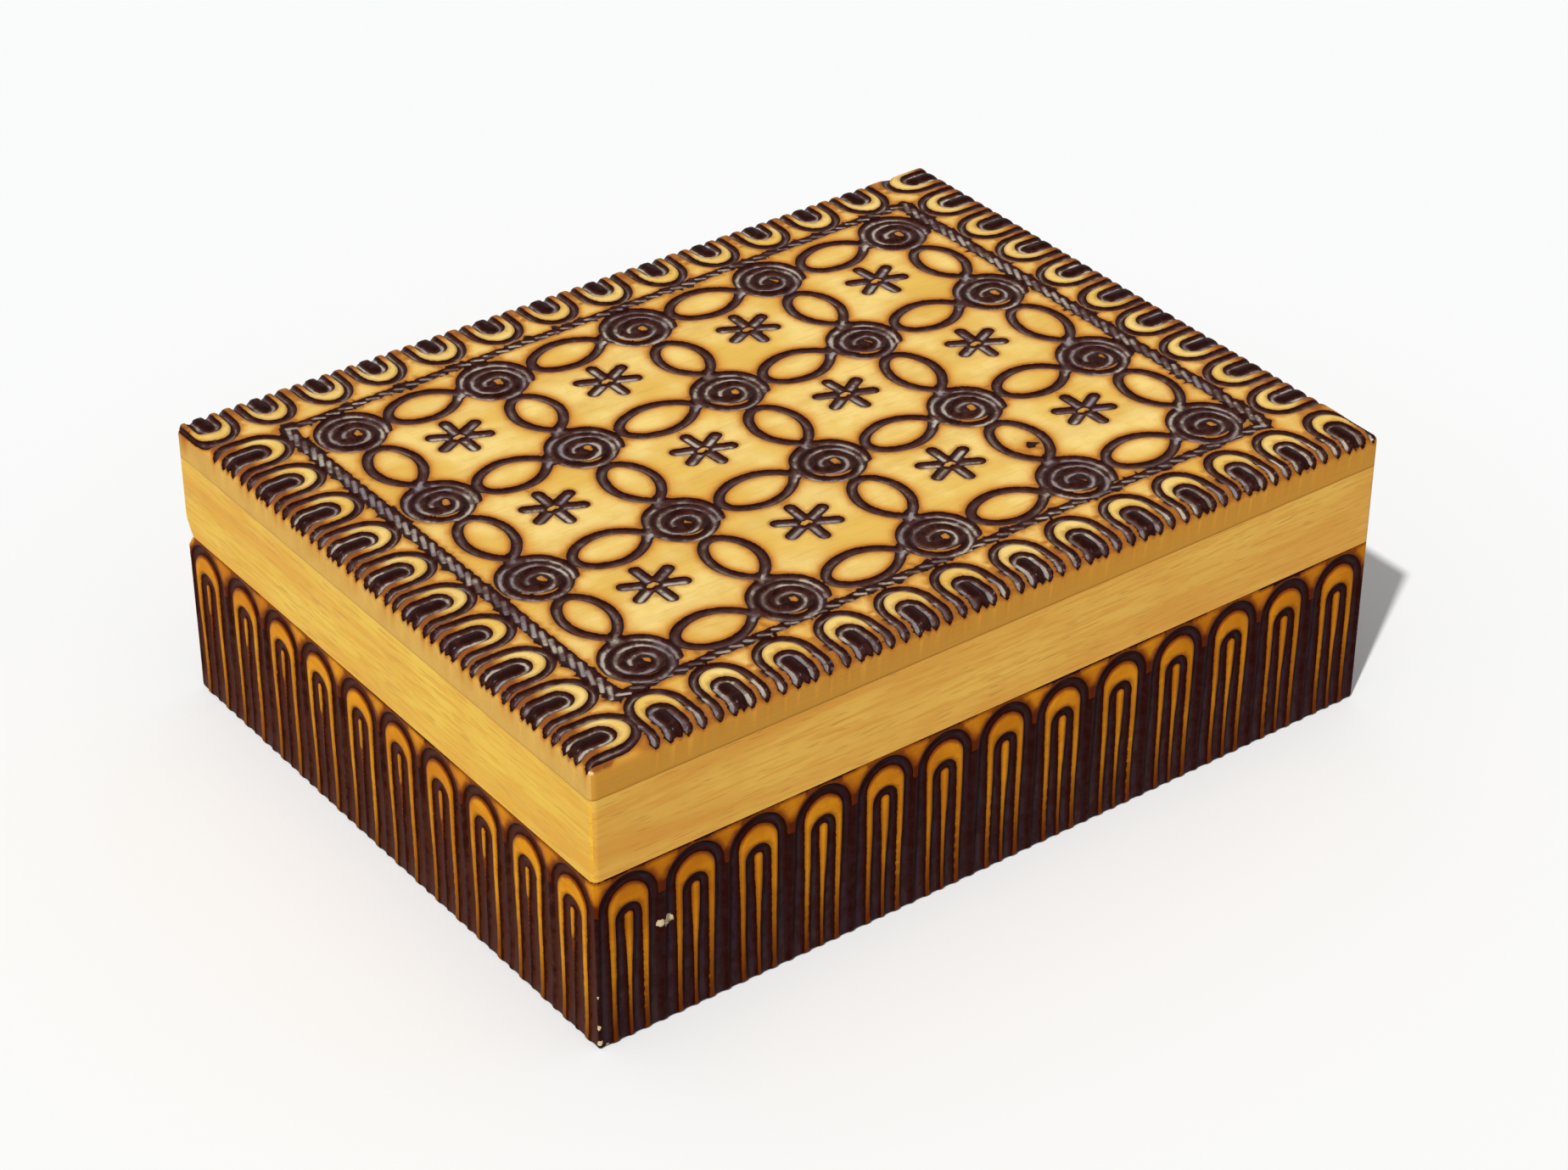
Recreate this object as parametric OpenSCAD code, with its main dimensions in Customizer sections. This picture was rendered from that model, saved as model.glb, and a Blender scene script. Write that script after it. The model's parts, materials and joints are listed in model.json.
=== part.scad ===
// Pokerwork wooden box with a hinged lid.
// +Z up, +X along the long side, front at -Y, hinges at +Y, origin under the middle of the bottom.

/* [Box] */
// Length of the box along X
box_w = 165; // [120:1:240]
// Depth of the box along Y
box_d = 127; // [95:1:200]
// Height of the base, from the table to the seam
base_h = 33.5; // [26:0.5:80]
// Thickness of the side walls
wall_t = 8; // [6.5:0.5:12]
// Rounding of the upright corner edges
corner_r = 1.2; // [0.6:0.1:3]
// Rounding of the base's lower outer edges
foot_r = 0.8; // [0.4:0.1:2]

/* [Bottom] */
// Thickness of the bottom panel
bottom_t = 3; // [2:0.5:6]
// How far the bottom panel is let into the walls
rebate_w = 4; // [2:0.5:5]
// Glue line round the bottom panel
glue_gap = 0.1; // [0.05:0.05:0.3]

/* [Lid] */
// Height of the plain lid walls
lid_wall_h = 15.5; // [10:0.5:40]
// Thickness of the carved top panel
top_t = 7; // [4:0.5:12]
// Rounding of the top panel's upper edges
top_round = 2.7; // [1:0.1:3.5]

/* [Burned arches] */
// Width wanted for a double arch on the base, which is then fitted evenly into each wall
arch_pitch = 12.7; // [11.9:0.1:16]
// Radius of the outer arch's centre line
arch_r = 4.75; // [3.5:0.05:6]
// Radius of the inner arch's centre line
inner_arch_r = 1.65; // [1.25:0.05:2.4]
// Width of a burned groove
burn_w = 2; // [1.2:0.1:2.2]
// Depth of a burned groove
burn_d = 0.7; // [0.5:0.05:0.9]
// From the seam down to the outer arch
arch_drop = 0.75; // [0.5:0.05:3]
// From the seam down to the inner arch
inner_drop = 6.4; // [5:0.1:9]

/* [Burned border] */
// Width of the arched border round the top
border_w = 11.2; // [10:0.1:14]
// Width wanted for a double arch of the border, which is then fitted evenly
border_pitch = 11.7; // [10.8:0.1:15]
// Radius of the border's outer arches
border_r = 4.35; // [3.5:0.05:5.5]
// Radius of the border's inner arches
inner_border_r = 1.7; // [1.35:0.05:2.4]
// Depth of the border's grooves
border_d = 0.6; // [0.5:0.05:0.9]

/* [Burned lattice] */
// Distance wanted between the spirals of the lattice, which are then spread evenly
spiral_pitch = 29.5; // [27:0.5:40]
// From the border to the middles of the first spirals, along X
spiral_gap_x = 11.3; // [9:0.1:20]
// From the border to the middles of the first spirals, along Y
spiral_gap_y = 9; // [9:0.1:20]
// Radius of a spiral's outer turn, at the groove's centre line
spiral_r = 6.1; // [5:0.1:7.5]
// Radius of a spiral's innermost half turn
spiral_start_r = 2; // [1.6:0.1:2.6]
// How much a spiral's radius grows in one turn
spiral_growth = 2; // [1.9:0.05:2.6]
// Ridge left between the turns of a spiral
spiral_ridge = 0.3; // [0.2:0.05:0.6]
// Width of the rings between the spirals, at the groove's centre line
ring_w = 8.9; // [6:0.1:10]
// How far a ring's widest place lies from its middle
ring_lean = 1; // [0:0.1:2]
// Length of a star's strokes, at the groove's centre line
star_w = 9.5; // [6:0.1:11]
// Angle of a star's slanting strokes to the long side
star_tilt = 27; // [20:1:35]
// Width of a star's strokes
star_burn_w = 2.2; // [1.6:0.1:2.6]
// Depth of the lattice's grooves
lattice_d = 0.55; // [0.5:0.05:0.9]

/* [Back groove] */
// How deep the groove along the back seam goes in
groove_in = 2.8; // [2.2:0.1:4]
// How far the groove reaches below the seam, as a straight bevel
groove_h = 3.8; // [3:0.1:6]
// How far the groove reaches above the seam, as a soft curve
curve_h = 8.6; // [7:0.1:12]

/* [Hinges] */
// Length of each hinge
hinge_len = 20; // [14:1:30]
// Distance of each hinge's middle from the box's end
hinge_inset = 34.5; // [24:0.5:60]
// Thickness of a leaf
leaf_t = 0.7; // [0.5:0.1:1]
// Width of a leaf from the pin's centre line
leaf_w = 4.9; // [4.2:0.1:6]
// Outer radius of the knuckles
knuckle_r = 1.3; // [1:0.1:2]
// Radius of the hinge pin
pin_r = 0.6; // [0.4:0.05:0.8]
// Clearance of the pin in its knuckles
pin_gap = 0.05; // [0.02:0.01:0.1]
// End gap between neighbouring knuckles
knuckle_gap = 0.3; // [0.2:0.1:0.6]
// Clearance round the knuckles in the wood
seat_gap = 0.3; // [0.2:0.1:0.6]
// Clearance round a leaf in its mortise
leaf_gap = 0.1; // [0.05:0.05:0.3]

/* [Hinge nails] */
// Radius of a nail's shank
nail_r = 0.45; // [0.3:0.05:0.6]
// Length of a nail under its head
nail_l = 6; // [4:0.5:9]
// Radius of a nail's head
nail_head_r = 0.95; // [0.7:0.05:1.3]
// Height of the sunk head
nail_head_h = 0.4; // [0.2:0.05:0.5]
// Distance between the two nails of a leaf
nail_spacing = 12; // [8:1:20]
// Distance of the nails from the pin's centre line
nail_in = 3.1; // [2.6:0.1:4]
// Clearance round a nail
nail_gap = 0.05; // [0.02:0.01:0.1]

/* [Hidden] */
$fn = 48;
over = 1;                                  // how far a cutter runs past what it cuts
half_w = box_w / 2;
half_d = box_d / 2;
lid_top_z = base_h + lid_wall_h;           // where the top panel sits
box_h = lid_top_z + top_t;
hinge_x = half_w - hinge_inset;            // distance of each hinge's middle from the box's middle
curve_r = (groove_in * groove_in + curve_h * curve_h) / (2 * groove_in);
long_arches = round(box_w / arch_pitch);
short_arches = round(box_d / arch_pitch);
long_border = round((box_w - border_w) / border_pitch);
short_border = round((box_d - border_w) / border_pitch);
field_w = box_w - 2 * (border_w + spiral_gap_x);  // between the middles of the outermost spirals
field_d = box_d - 2 * (border_w + spiral_gap_y);
steps_x = max(1, round(field_w / spiral_pitch));
steps_y = max(1, round(field_d / spiral_pitch));
spiral_burn_w = spiral_growth - spiral_ridge;
axis_y = half_d - groove_in;               // hinge line, at the bottom of the V groove
seat_r = knuckle_r + seat_gap;
knuckle_len = (hinge_len - 2 * knuckle_gap) / 3;
brass = "#c9a24a";
steel = "#a8a9ab";
burned = "#a5672a";
plain = "#dcae5c";
ply = "#cfa873";

// Plan and profile shapes

// A rectangle centred on the origin, with round corners
module round_rect(w, d, r) {
    square([w - 2 * r, d], center = true);
    square([w, d - 2 * r], center = true);
    for (x = [-1, 1], y = [-1, 1])
        translate([x * (w / 2 - r), y * (d / 2 - r)])
            circle(r);
}

// The plan of a wall between two mitres: side is the way it faces, 0 = -Y, 1 = +X, 2 = +Y, 3 = -X
module wall_plan(side) {
    along = (side % 2 == 0) ? half_w : half_d;
    out = (side % 2 == 0) ? half_d : half_w;
    intersection() {
        round_rect(box_w, box_d, corner_r);
        rotate(90 * side)
            polygon([[-along - over, -out - over], [along + over, -out - over],
                     [along - wall_t, -out + wall_t], [-along + wall_t, -out + wall_t]]);
    }
}

// Cutters

// The groove along the back seam: a bevel below the seam and a soft curve above it
module back_groove() {
    reach = 1 + over / groove_in;
    translate([-half_w - over, axis_y, base_h])
        rotate([90, 0, 90])
            linear_extrude(box_w + 2 * over) {
                polygon([[0, 0], [groove_in * reach, -groove_h * reach], [groove_in * reach, 0]]);
                difference() {
                    square([groove_in + over, curve_h]);
                    translate([groove_in - curve_r, curve_h])
                        circle(curve_r, $fn = 192);
                }
            }
}

// The radius of the burning tool's tip that leaves a groove so wide and so deep
function tip_r(width, depth) = (width * width / 4 + depth * depth) / (2 * depth);

// One burned arch on legs, burned into a face at z = 0: the legs run out along -Y
module burned_arch(r, leg, depth) {
    tip = tip_r(burn_w, depth);
    translate([0, 0, tip - depth]) {
        rotate_extrude(angle = 180)
            translate([r, 0])
                circle(tip);
        for (x = [-r, r])
            translate([x, 0, 0])
                rotate([90, 0, 0])
                    cylinder(r = tip, h = leg + over);
    }
}

// A row of double arches from the left end: step is the pitch, the heights are those of the arches' middles
module double_arches(count, step, r, high, inner_r, inner_high, depth) {
    for (i = [0 : count - 1])
        translate([(i + 0.5) * step, 0, 0]) {
            translate([0, high, 0])
                burned_arch(r, high, depth);
            translate([0, inner_high, 0])
                burned_arch(inner_r, inner_high, depth);
        }
}

// The double arches of one base wall, below the groove on the back wall
module wall_arches(side) {
    along = (side % 2 == 0) ? box_w : box_d;
    out = (side % 2 == 0) ? half_d : half_w;
    count = (side % 2 == 0) ? long_arches : short_arches;
    top_z = (side == 2) ? base_h - groove_h : base_h;
    rotate(90 * side)
        translate([-along / 2, -out, 0])
            rotate([90, 0, 0])
                double_arches(count, along / count,
                              arch_r, top_z - arch_drop - burn_w / 2 - arch_r,
                              inner_arch_r, top_z - inner_drop - burn_w / 2 - inner_arch_r, burn_d);
}

// The border's row along one edge of the top: it starts past the border of the edge on its left
module border_arches(side) {
    along = (side % 2 == 0) ? box_w : box_d;
    out = (side % 2 == 0) ? half_d : half_w;
    count = (side % 2 == 0) ? long_border : short_border;
    rotate(90 * side)
        translate([border_w - along / 2, -out, top_t])
            double_arches(count, (along - border_w) / count,
                          border_r, border_w - burn_w / 2 - border_r,
                          inner_border_r, border_w / 2 - inner_border_r + burn_w / 2, border_d);
}

// Plan of a groove along an arc: the fan of points only picks the arc out of its circle
module arc_groove(r, from, to, width) {
    fan = [for (i = [0 : 12]) 2 * r * [cos(from + (to - from) * i / 12), sin(from + (to - from) * i / 12)]];
    intersection() {
        difference() {
            circle(r + width / 2);
            circle(r - width / 2);
        }
        polygon(concat([[0, 0]], fan));
    }
}

// A spiral: half turns round two middles in turn, then an outer turn that stays round
module spiral_plan() {
    grow = spiral_growth / 2;
    halves = max(1, floor((spiral_r - spiral_start_r) / grow) - 1);
    shift = grow / 4;
    for (i = [0 : halves])
        translate([(i % 2 == 0) ? shift : shift - grow, 0])
            arc_groove(spiral_start_r + i * grow, (i % 2) * 180 + ((i == halves) ? 90 : 0),
                       (i % 2) * 180 + 180, spiral_burn_w);
    translate([shift - spiral_start_r, 0])
        circle(spiral_burn_w / 2);
    arc_groove(spiral_r, -36, 270, spiral_burn_w);
    rotate(-36)
        translate([spiral_r, 0])
            circle(spiral_burn_w / 2 - 0.1);
}

// The area within a ring, grown by so much: a round end and two side arcs that run on from it and meet
module ring_area(tip, tail, grown) {
    side_r = (tail * tail + ring_w * ring_w / 4) / ring_w;
    end_r = (side_r * ring_w - tip * tip - ring_w * ring_w / 4) / (2 * (side_r - tip));
    middle = [end_r - tip, 0];
    joint = middle + 2 * side_r * [end_r - tip, side_r - ring_w / 2] / (side_r - end_r);
    far = 2 * side_r;
    translate(middle)
        circle(end_r + grown);
    intersection() {
        for (s = [0, 1])
            mirror([0, s])
                translate([0, ring_w / 2 - side_r])
                    circle(side_r + grown);
        polygon([middle, joint, [far, joint[1]], [far, -joint[1]], [joint[0], -joint[1]]]);
    }
}

// A ring that fills a gap between two spirals, its pointed end in the next spiral
module ring_plan(gap) {
    tip = gap / 2 - burn_w / 2 - ring_lean;
    tail = gap / 2 - burn_w / 6 + ring_lean;
    translate([-ring_lean, 0])
        difference() {
            ring_area(tip, tail, burn_w / 2);
            ring_area(tip, tail, -burn_w / 2);
        }
}

// A star of six rays: three strokes with round ends across one middle
module star_plan() {
    for (a = [90, star_tilt, -star_tilt])
        rotate(a) {
            square([star_w, star_burn_w], center = true);
            for (x = [-1, 1])
                translate([x * star_w / 2, 0])
                    circle(star_burn_w / 2);
        }
}

// Puts a shape at every point of a grid that is centred on the top
module on_grid(across, up) {
    for (i = [0 : across], j = [0 : up])
        translate([(i - across / 2) * field_w / steps_x, (j - up / 2) * field_d / steps_y])
            children();
}

// The whole lattice: spirals joined by rings, and stars in its meshes
module lattice_plan() {
    reach = spiral_r + burn_w / 2;
    on_grid(steps_x, steps_y)
        spiral_plan();
    on_grid(steps_x - 1, steps_y)
        ring_plan(field_w / steps_x - 2 * reach);
    on_grid(steps_x, steps_y - 1)
        rotate(-90)
            ring_plan(field_d / steps_y - 2 * reach);
    on_grid(steps_x - 1, steps_y - 1)
        star_plan();
}

// The rebate that the bottom panel lies in
module bottom_rebate() {
    translate([0, 0, -over])
        linear_extrude(bottom_t + over)
            square([box_w - 2 * (wall_t - rebate_w), box_d - 2 * (wall_t - rebate_w)], center = true);
}

// Room for the leaves and knuckles of one hinge: up is 1 in the lid and -1 in the base
module hinge_mortise(up) {
    deep = leaf_t + leaf_gap;
    long = hinge_len + 2 * leaf_gap;
    translate([-long / 2, axis_y - wall_t, (up > 0) ? base_h - over : base_h - deep])
        cube([long, wall_t, deep + over]);
    translate([-long / 2, axis_y, base_h])
        rotate([0, 90, 0])
            cylinder(r = seat_r, h = long);
    for (x = [-1, 1])
        translate([x * nail_spacing / 2, axis_y - nail_in, base_h])
            mirror([0, 0, (up > 0) ? 0 : 1])
                cylinder(r = nail_r + nail_gap, h = nail_l + nail_gap);
}

module both_mortises(up) {
    for (x = [-1, 1])
        translate([x * hinge_x, 0, 0])
            hinge_mortise(up);
}

// The long side of the base's lower edge, rounded off
module foot_profile(w) {
    translate([-w / 2, foot_r])
        square([w, base_h]);
    translate([-w / 2 + foot_r, 0])
        square([w - 2 * foot_r, base_h]);
    for (x = [-1, 1])
        translate([x * (w / 2 - foot_r), foot_r])
            circle(foot_r);
}

// Base

module base_wall(side) {
    across = (side % 2 == 0) ? box_d : box_w;
    along = (side % 2 == 0) ? box_w : box_d;
    color(burned)
        difference() {
            intersection() {
                linear_extrude(base_h)
                    wall_plan(side);
                rotate([90, 0, (side % 2 == 0) ? 90 : 0])
                    translate([0, 0, -along / 2 - over])
                        linear_extrude(along + 2 * over)
                            foot_profile(across);
            }
            bottom_rebate();
            if (side != 0)
                back_groove();
            if (side == 2)
                both_mortises(-1);
            wall_arches(side);
        }
}

module base_front_wall() {
    base_wall(0);
}

module base_back_wall() {
    base_wall(2);
}

module base_left_wall() {
    base_wall(3);
}

module base_right_wall() {
    base_wall(1);
}

module base_bottom_panel() {
    inset = wall_t - rebate_w + glue_gap;
    color(ply)
        linear_extrude(bottom_t)
            square([box_w - 2 * inset, box_d - 2 * inset], center = true);
}

// Lid

module lid_wall(side) {
    color(plain)
        difference() {
            translate([0, 0, base_h])
                linear_extrude(lid_wall_h)
                    wall_plan(side);
            if (side != 0)
                back_groove();
            if (side == 2)
                both_mortises(1);
        }
}

module lid_front_wall() {
    lid_wall(0);
}

module lid_back_wall() {
    lid_wall(2);
}

module lid_left_wall() {
    lid_wall(3);
}

module lid_right_wall() {
    lid_wall(1);
}

// The top panel's cross-section, with its upper edges rounded
module top_profile(w) {
    translate([-w / 2, 0])
        square([w, top_t - top_round]);
    translate([-w / 2 + top_round, 0])
        square([w - 2 * top_round, top_t]);
    for (x = [-1, 1])
        translate([x * (w / 2 - top_round), top_t - top_round])
            circle(top_round);
}

module lid_top_panel() {
    color(burned)
        translate([0, 0, lid_top_z])
            difference() {
                intersection() {
                    linear_extrude(top_t)
                        round_rect(box_w, box_d, corner_r);
                    rotate([90, 0, 0])
                        translate([0, 0, -half_d - over])
                            linear_extrude(box_d + 2 * over)
                                top_profile(box_w);
                    rotate([90, 0, 90])
                        translate([0, 0, -half_w - over])
                            linear_extrude(box_w + 2 * over)
                                top_profile(box_d);
                }
                for (side = [0 : 3])
                    border_arches(side);
                translate([0, 0, top_t - lattice_d])
                    linear_extrude(lattice_d + over)
                        lattice_plan();
            }
}

// Hinges

// Where knuckle i of a hinge starts along X, seen from the hinge's middle
function knuckle_start(i) = -hinge_len / 2 + i * (knuckle_len + knuckle_gap);

// One leaf with its knuckles: up is 1 for the lid's leaf and -1 for the base's, own lists its knuckles
module leaf(up, own) {
    plate_z = (up > 0) ? base_h + leaf_gap / 2 : base_h - leaf_gap / 2 - leaf_t;
    difference() {
        union() {
            translate([-hinge_len / 2, axis_y - leaf_w, plate_z])
                cube([hinge_len, leaf_w - seat_r, leaf_t]);
            for (i = own) {
                translate([knuckle_start(i), axis_y - seat_r - leaf_t, plate_z])
                    cube([knuckle_len, seat_r + leaf_t, leaf_t]);
                translate([knuckle_start(i), axis_y, base_h])
                    rotate([0, 90, 0])
                        cylinder(r = knuckle_r, h = knuckle_len);
            }
        }
        translate([-hinge_len / 2 - over, axis_y, base_h])
            rotate([0, 90, 0])
                cylinder(r = pin_r + pin_gap, h = hinge_len + 2 * over);
        for (x = [-1, 1])
            translate([x * nail_spacing / 2, axis_y - nail_in, base_h])
                mirror([0, 0, (up > 0) ? 0 : 1])
                    nail(nail_gap, over);
    }
}

// One nail, head at z = 0 and point upwards; gap widens it and above lengthens its head, to cut its hole
module nail(gap, above) {
    head_z = leaf_gap / 2;
    if (above > 0)
        translate([0, 0, head_z - above])
            cylinder(r = nail_head_r + gap, h = above);
    translate([0, 0, head_z])
        cylinder(r1 = nail_head_r + gap, r2 = nail_r + gap, h = nail_head_h);
    translate([0, 0, head_z + nail_head_h])
        cylinder(r = nail_r + gap, h = nail_l - nail_head_h - head_z);
}

module pin() {
    translate([-hinge_len / 2, axis_y, base_h])
        rotate([0, 90, 0])
            cylinder(r = pin_r, h = hinge_len);
}

// Puts a hinge piece at the left (-1) or right (1) hinge
module at_hinge(side) {
    translate([side * hinge_x, 0, 0])
        children();
}

module hinge_left_base_leaf() {
    color(brass)
        at_hinge(-1)
            leaf(-1, [0, 2]);
}

module hinge_left_lid_leaf() {
    color(brass)
        at_hinge(-1)
            leaf(1, [1]);
}

module hinge_left_pin() {
    color(steel)
        at_hinge(-1)
            pin();
}

module hinge_right_base_leaf() {
    color(brass)
        at_hinge(1)
            leaf(-1, [0, 2]);
}

module hinge_right_lid_leaf() {
    color(brass)
        at_hinge(1)
            leaf(1, [1]);
}

module hinge_right_pin() {
    color(steel)
        at_hinge(1)
            pin();
}

// The four nails of one half: up is 1 in the lid and -1 in the base
module hinge_nails(up) {
    color(brass)
        for (side = [-1, 1], x = [-1, 1])
            translate([side * hinge_x + x * nail_spacing / 2, axis_y - nail_in, base_h])
                mirror([0, 0, (up > 0) ? 0 : 1])
                    nail(0, 0);
}

module base_hinge_nails() {
    hinge_nails(-1);
}

module lid_hinge_nails() {
    hinge_nails(1);
}

base_front_wall();
base_back_wall();
base_left_wall();
base_right_wall();
base_bottom_panel();
lid_front_wall();
lid_back_wall();
lid_left_wall();
lid_right_wall();
lid_top_panel();
hinge_left_base_leaf();
hinge_left_lid_leaf();
hinge_left_pin();
hinge_right_base_leaf();
hinge_right_lid_leaf();
hinge_right_pin();
base_hinge_nails();
lid_hinge_nails();
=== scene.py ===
# Pokerwork wooden box: burned double arches round the base, a burned lattice on the lid's board.
# Strokes are laid out flat, pressed into flat sheets, and the sheets are wrapped round walls and board.
import json
import math

import bpy
import numpy as np
from mathutils import Matrix, Vector
from mathutils.geometry import delaunay_2d_cdt
from mathutils.kdtree import KDTree


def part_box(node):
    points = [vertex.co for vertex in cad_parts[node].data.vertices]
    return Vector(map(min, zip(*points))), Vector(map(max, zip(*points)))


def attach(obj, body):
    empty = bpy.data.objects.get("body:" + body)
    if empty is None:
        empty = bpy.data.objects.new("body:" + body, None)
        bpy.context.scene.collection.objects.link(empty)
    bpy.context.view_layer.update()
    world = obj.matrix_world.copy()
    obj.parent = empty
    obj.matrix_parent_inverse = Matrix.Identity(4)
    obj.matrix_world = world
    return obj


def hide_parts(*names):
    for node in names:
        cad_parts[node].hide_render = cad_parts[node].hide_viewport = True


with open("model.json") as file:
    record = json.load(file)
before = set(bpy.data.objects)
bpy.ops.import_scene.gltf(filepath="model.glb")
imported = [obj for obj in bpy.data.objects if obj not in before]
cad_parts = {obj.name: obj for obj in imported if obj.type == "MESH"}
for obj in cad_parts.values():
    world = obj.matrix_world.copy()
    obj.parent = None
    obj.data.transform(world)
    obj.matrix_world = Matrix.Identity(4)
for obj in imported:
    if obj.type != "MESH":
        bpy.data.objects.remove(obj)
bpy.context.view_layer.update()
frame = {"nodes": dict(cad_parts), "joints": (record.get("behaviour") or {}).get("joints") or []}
mm = 0.001

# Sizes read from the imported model
boardLow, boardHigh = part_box("lid_top_panel")
frontLow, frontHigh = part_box("base_front_wall")
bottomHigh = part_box("base_bottom_panel")[1]
hingeLine = Vector(frame["joints"][0]["pos_m"])
halfLong = boardHigh.x
halfDeep = boardHigh.y
seamHeight = frontHigh.z
wallThickness = frontHigh.y - frontLow.y
print("frame loaded")


# Camera

camera = {
    "location": (-336.3 * mm, -449.8 * mm, 390.6 * mm),
    "right": (0.80039, -0.59948, 0.00235),
    "down": (-0.32675, -0.43953, -0.83669),
    "lens": 86.89,  # in mm, for a picture of 1848 by 1379
    "sensor": 36,   # its width in mm
}


def addObject(name, data):
    body = bpy.data.objects.new(name, data)
    bpy.context.scene.collection.objects.link(body)
    return body


def makeCamera():
    data = bpy.data.cameras.new("camera")
    data.lens = camera["lens"]
    data.sensor_width = camera["sensor"]
    data.clip_start = 0.01
    body = addObject("camera", data)
    right = Vector(camera["right"]).normalized()
    up = -Vector(camera["down"])
    up = (up - right * right.dot(up)).normalized()
    turn = Matrix((right, up, right.cross(up))).transposed()
    body.matrix_world = Matrix.Translation(camera["location"]) @ turn.to_4x4()
    bpy.context.scene.camera = body


makeCamera()
print("camera placed")


# Helpers for node trees

def place(tree, kind, inputs=None, **settings):
    node = tree.nodes.new(kind)
    for name, value in settings.items():
        setattr(node, name, value)
    for name, value in (inputs or {}).items():
        if isinstance(value, bpy.types.NodeSocket):
            tree.links.new(value, node.inputs[name])
        else:
            node.inputs[name].default_value = value
    return node


def calc(tree, operation, *values):
    return place(tree, "ShaderNodeMath", dict(enumerate(values)), operation=operation).outputs[0]


def chain(operation):
    def combine(tree, result, *others):
        for other in others:
            result = calc(tree, operation, result, other)
        return result
    return combine


times, plus, minus, highest = (chain(name) for name in ("MULTIPLY", "ADD", "SUBTRACT", "MAXIMUM"))
divide = chain("DIVIDE")


def vector(tree, x=0.0, y=0.0, z=0.0):
    return place(tree, "ShaderNodeCombineXYZ", {0: x, 1: y, 2: z}).outputs[0]


def mixValue(tree, factor, first, second):
    return place(tree, "ShaderNodeMix", {0: factor, 2: first, 3: second}).outputs[0]


def spread(tree, value, fromLow, fromHigh, toLow=0.0, toHigh=1.0, kind="SMOOTHSTEP"):
    inputs = {0: value, 1: fromLow, 2: fromHigh, 3: toLow, 4: toHigh}
    return place(tree, "ShaderNodeMapRange", inputs, interpolation_type=kind).outputs[0]


def mixColour(tree, factor, first, second):
    first, second = (c if isinstance(c, bpy.types.NodeSocket) else (*c, 1) for c in (first, second))
    return place(tree, "ShaderNodeMix", {0: factor, 6: first, 7: second}, data_type="RGBA").outputs[2]


def noise(tree, at, scale, detail=2.0, roughness=0.5):
    inputs = {"Vector": at, "Scale": scale, "Detail": detail, "Roughness": roughness}
    return place(tree, "ShaderNodeTexNoise", inputs).outputs[0]


def openTree(name, kind, inputs):
    # inputs is a list of (label, socket type, starting value)
    tree = bpy.data.node_groups.new(name, kind)
    for label, socket, value in inputs:
        item = tree.interface.new_socket(label, in_out="INPUT", socket_type="NodeSocket" + socket)
        if value is not None:
            item.default_value = value
    return tree, place(tree, "NodeGroupInput").outputs


def closeTree(tree, socket, outputs):
    # outputs is {label: value}, all of one socket type
    for label in outputs:
        tree.interface.new_socket(label, in_out="OUTPUT", socket_type="NodeSocket" + socket)
    place(tree, "NodeGroupOutput", outputs)
    return tree


def closeGeometry(tree, geometry, material):
    real = place(tree, "GeometryNodeRealizeInstances", {"Geometry": geometry}).outputs[0]
    done = place(tree, "GeometryNodeSetMaterial", {"Geometry": real, "Material": material}).outputs[0]
    return closeTree(tree, "Geometry", {"Geometry": done})


def named(tree, name, kind="FLOAT"):
    return place(tree, "GeometryNodeInputNamedAttribute", {"Name": name}, data_type=kind).outputs[0]


def keepValue(tree, geometry, name, value, domain="POINT"):
    inputs = {"Geometry": geometry, "Name": name, "Value": value}
    node = place(tree, "GeometryNodeStoreNamedAttribute", inputs, data_type="FLOAT", domain=domain)
    return node.outputs[0]


def evaluated(body):
    # The plain mesh of an object with its modifiers
    return bpy.data.meshes.new_from_object(body.evaluated_get(bpy.context.evaluated_depsgraph_get()))


def runTree(name, mesh, tree, values):
    # Runs a Geometry Nodes tree on a mesh and gives back a plain mesh
    body = addObject(name, mesh)
    modifier = body.modifiers.new("nodes", "NODES")
    modifier.node_group = tree
    for item in tree.interface.items_tree:
        if item.item_type == "SOCKET" and item.in_out == "INPUT" and item.name in values:
            modifier[item.identifier] = values[item.name]
    result = evaluated(body)
    bpy.data.objects.remove(body)
    return result


def readValues(data, name, width=1, kind=float):
    values = np.empty(len(data) * width, dtype=kind)
    data.foreach_get(name, values)
    return values.reshape(-1, width) if width > 1 else values


def addValues(mesh, name, values, kind="FLOAT"):
    mesh.attributes.new(name, kind, "POINT").data.foreach_set("value", values)


# Shader groups

def woodFibreGroup():
    # Fine fibres, flecks and broad figure of a pale wood, running along X of the given coordinates
    tree, given = openTree("woodFibre", "ShaderNodeTree", (
        ("Coordinates", "Vector", None), ("Fibre Length", "Float", 14.0), ("Fleck Amount", "Float", 0.5)))
    at = given["Coordinates"]
    scale = vector(tree, divide(tree, 1.0, given["Fibre Length"]), 1.0, 1.0)
    drawn = place(tree, "ShaderNodeVectorMath", {0: at, 1: scale}, operation="MULTIPLY").outputs[0]
    fibres = noise(tree, drawn, 1500.0, 3.0, 0.6)
    flecks = spread(tree, noise(tree, drawn, 2600.0, 1.0, 0.4), 0.6, 0.72)
    flecks = times(tree, flecks, given["Fleck Amount"])
    return closeTree(tree, "Float", {
        "Figure": noise(tree, drawn, 160.0, 3.0, 0.55), "Fibres": fibres,
        "Clouds": noise(tree, at, 70.0, 3.0, 0.55), "Flecks": flecks,
        "Height": minus(tree, fibres, times(tree, flecks, 0.7))})


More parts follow.
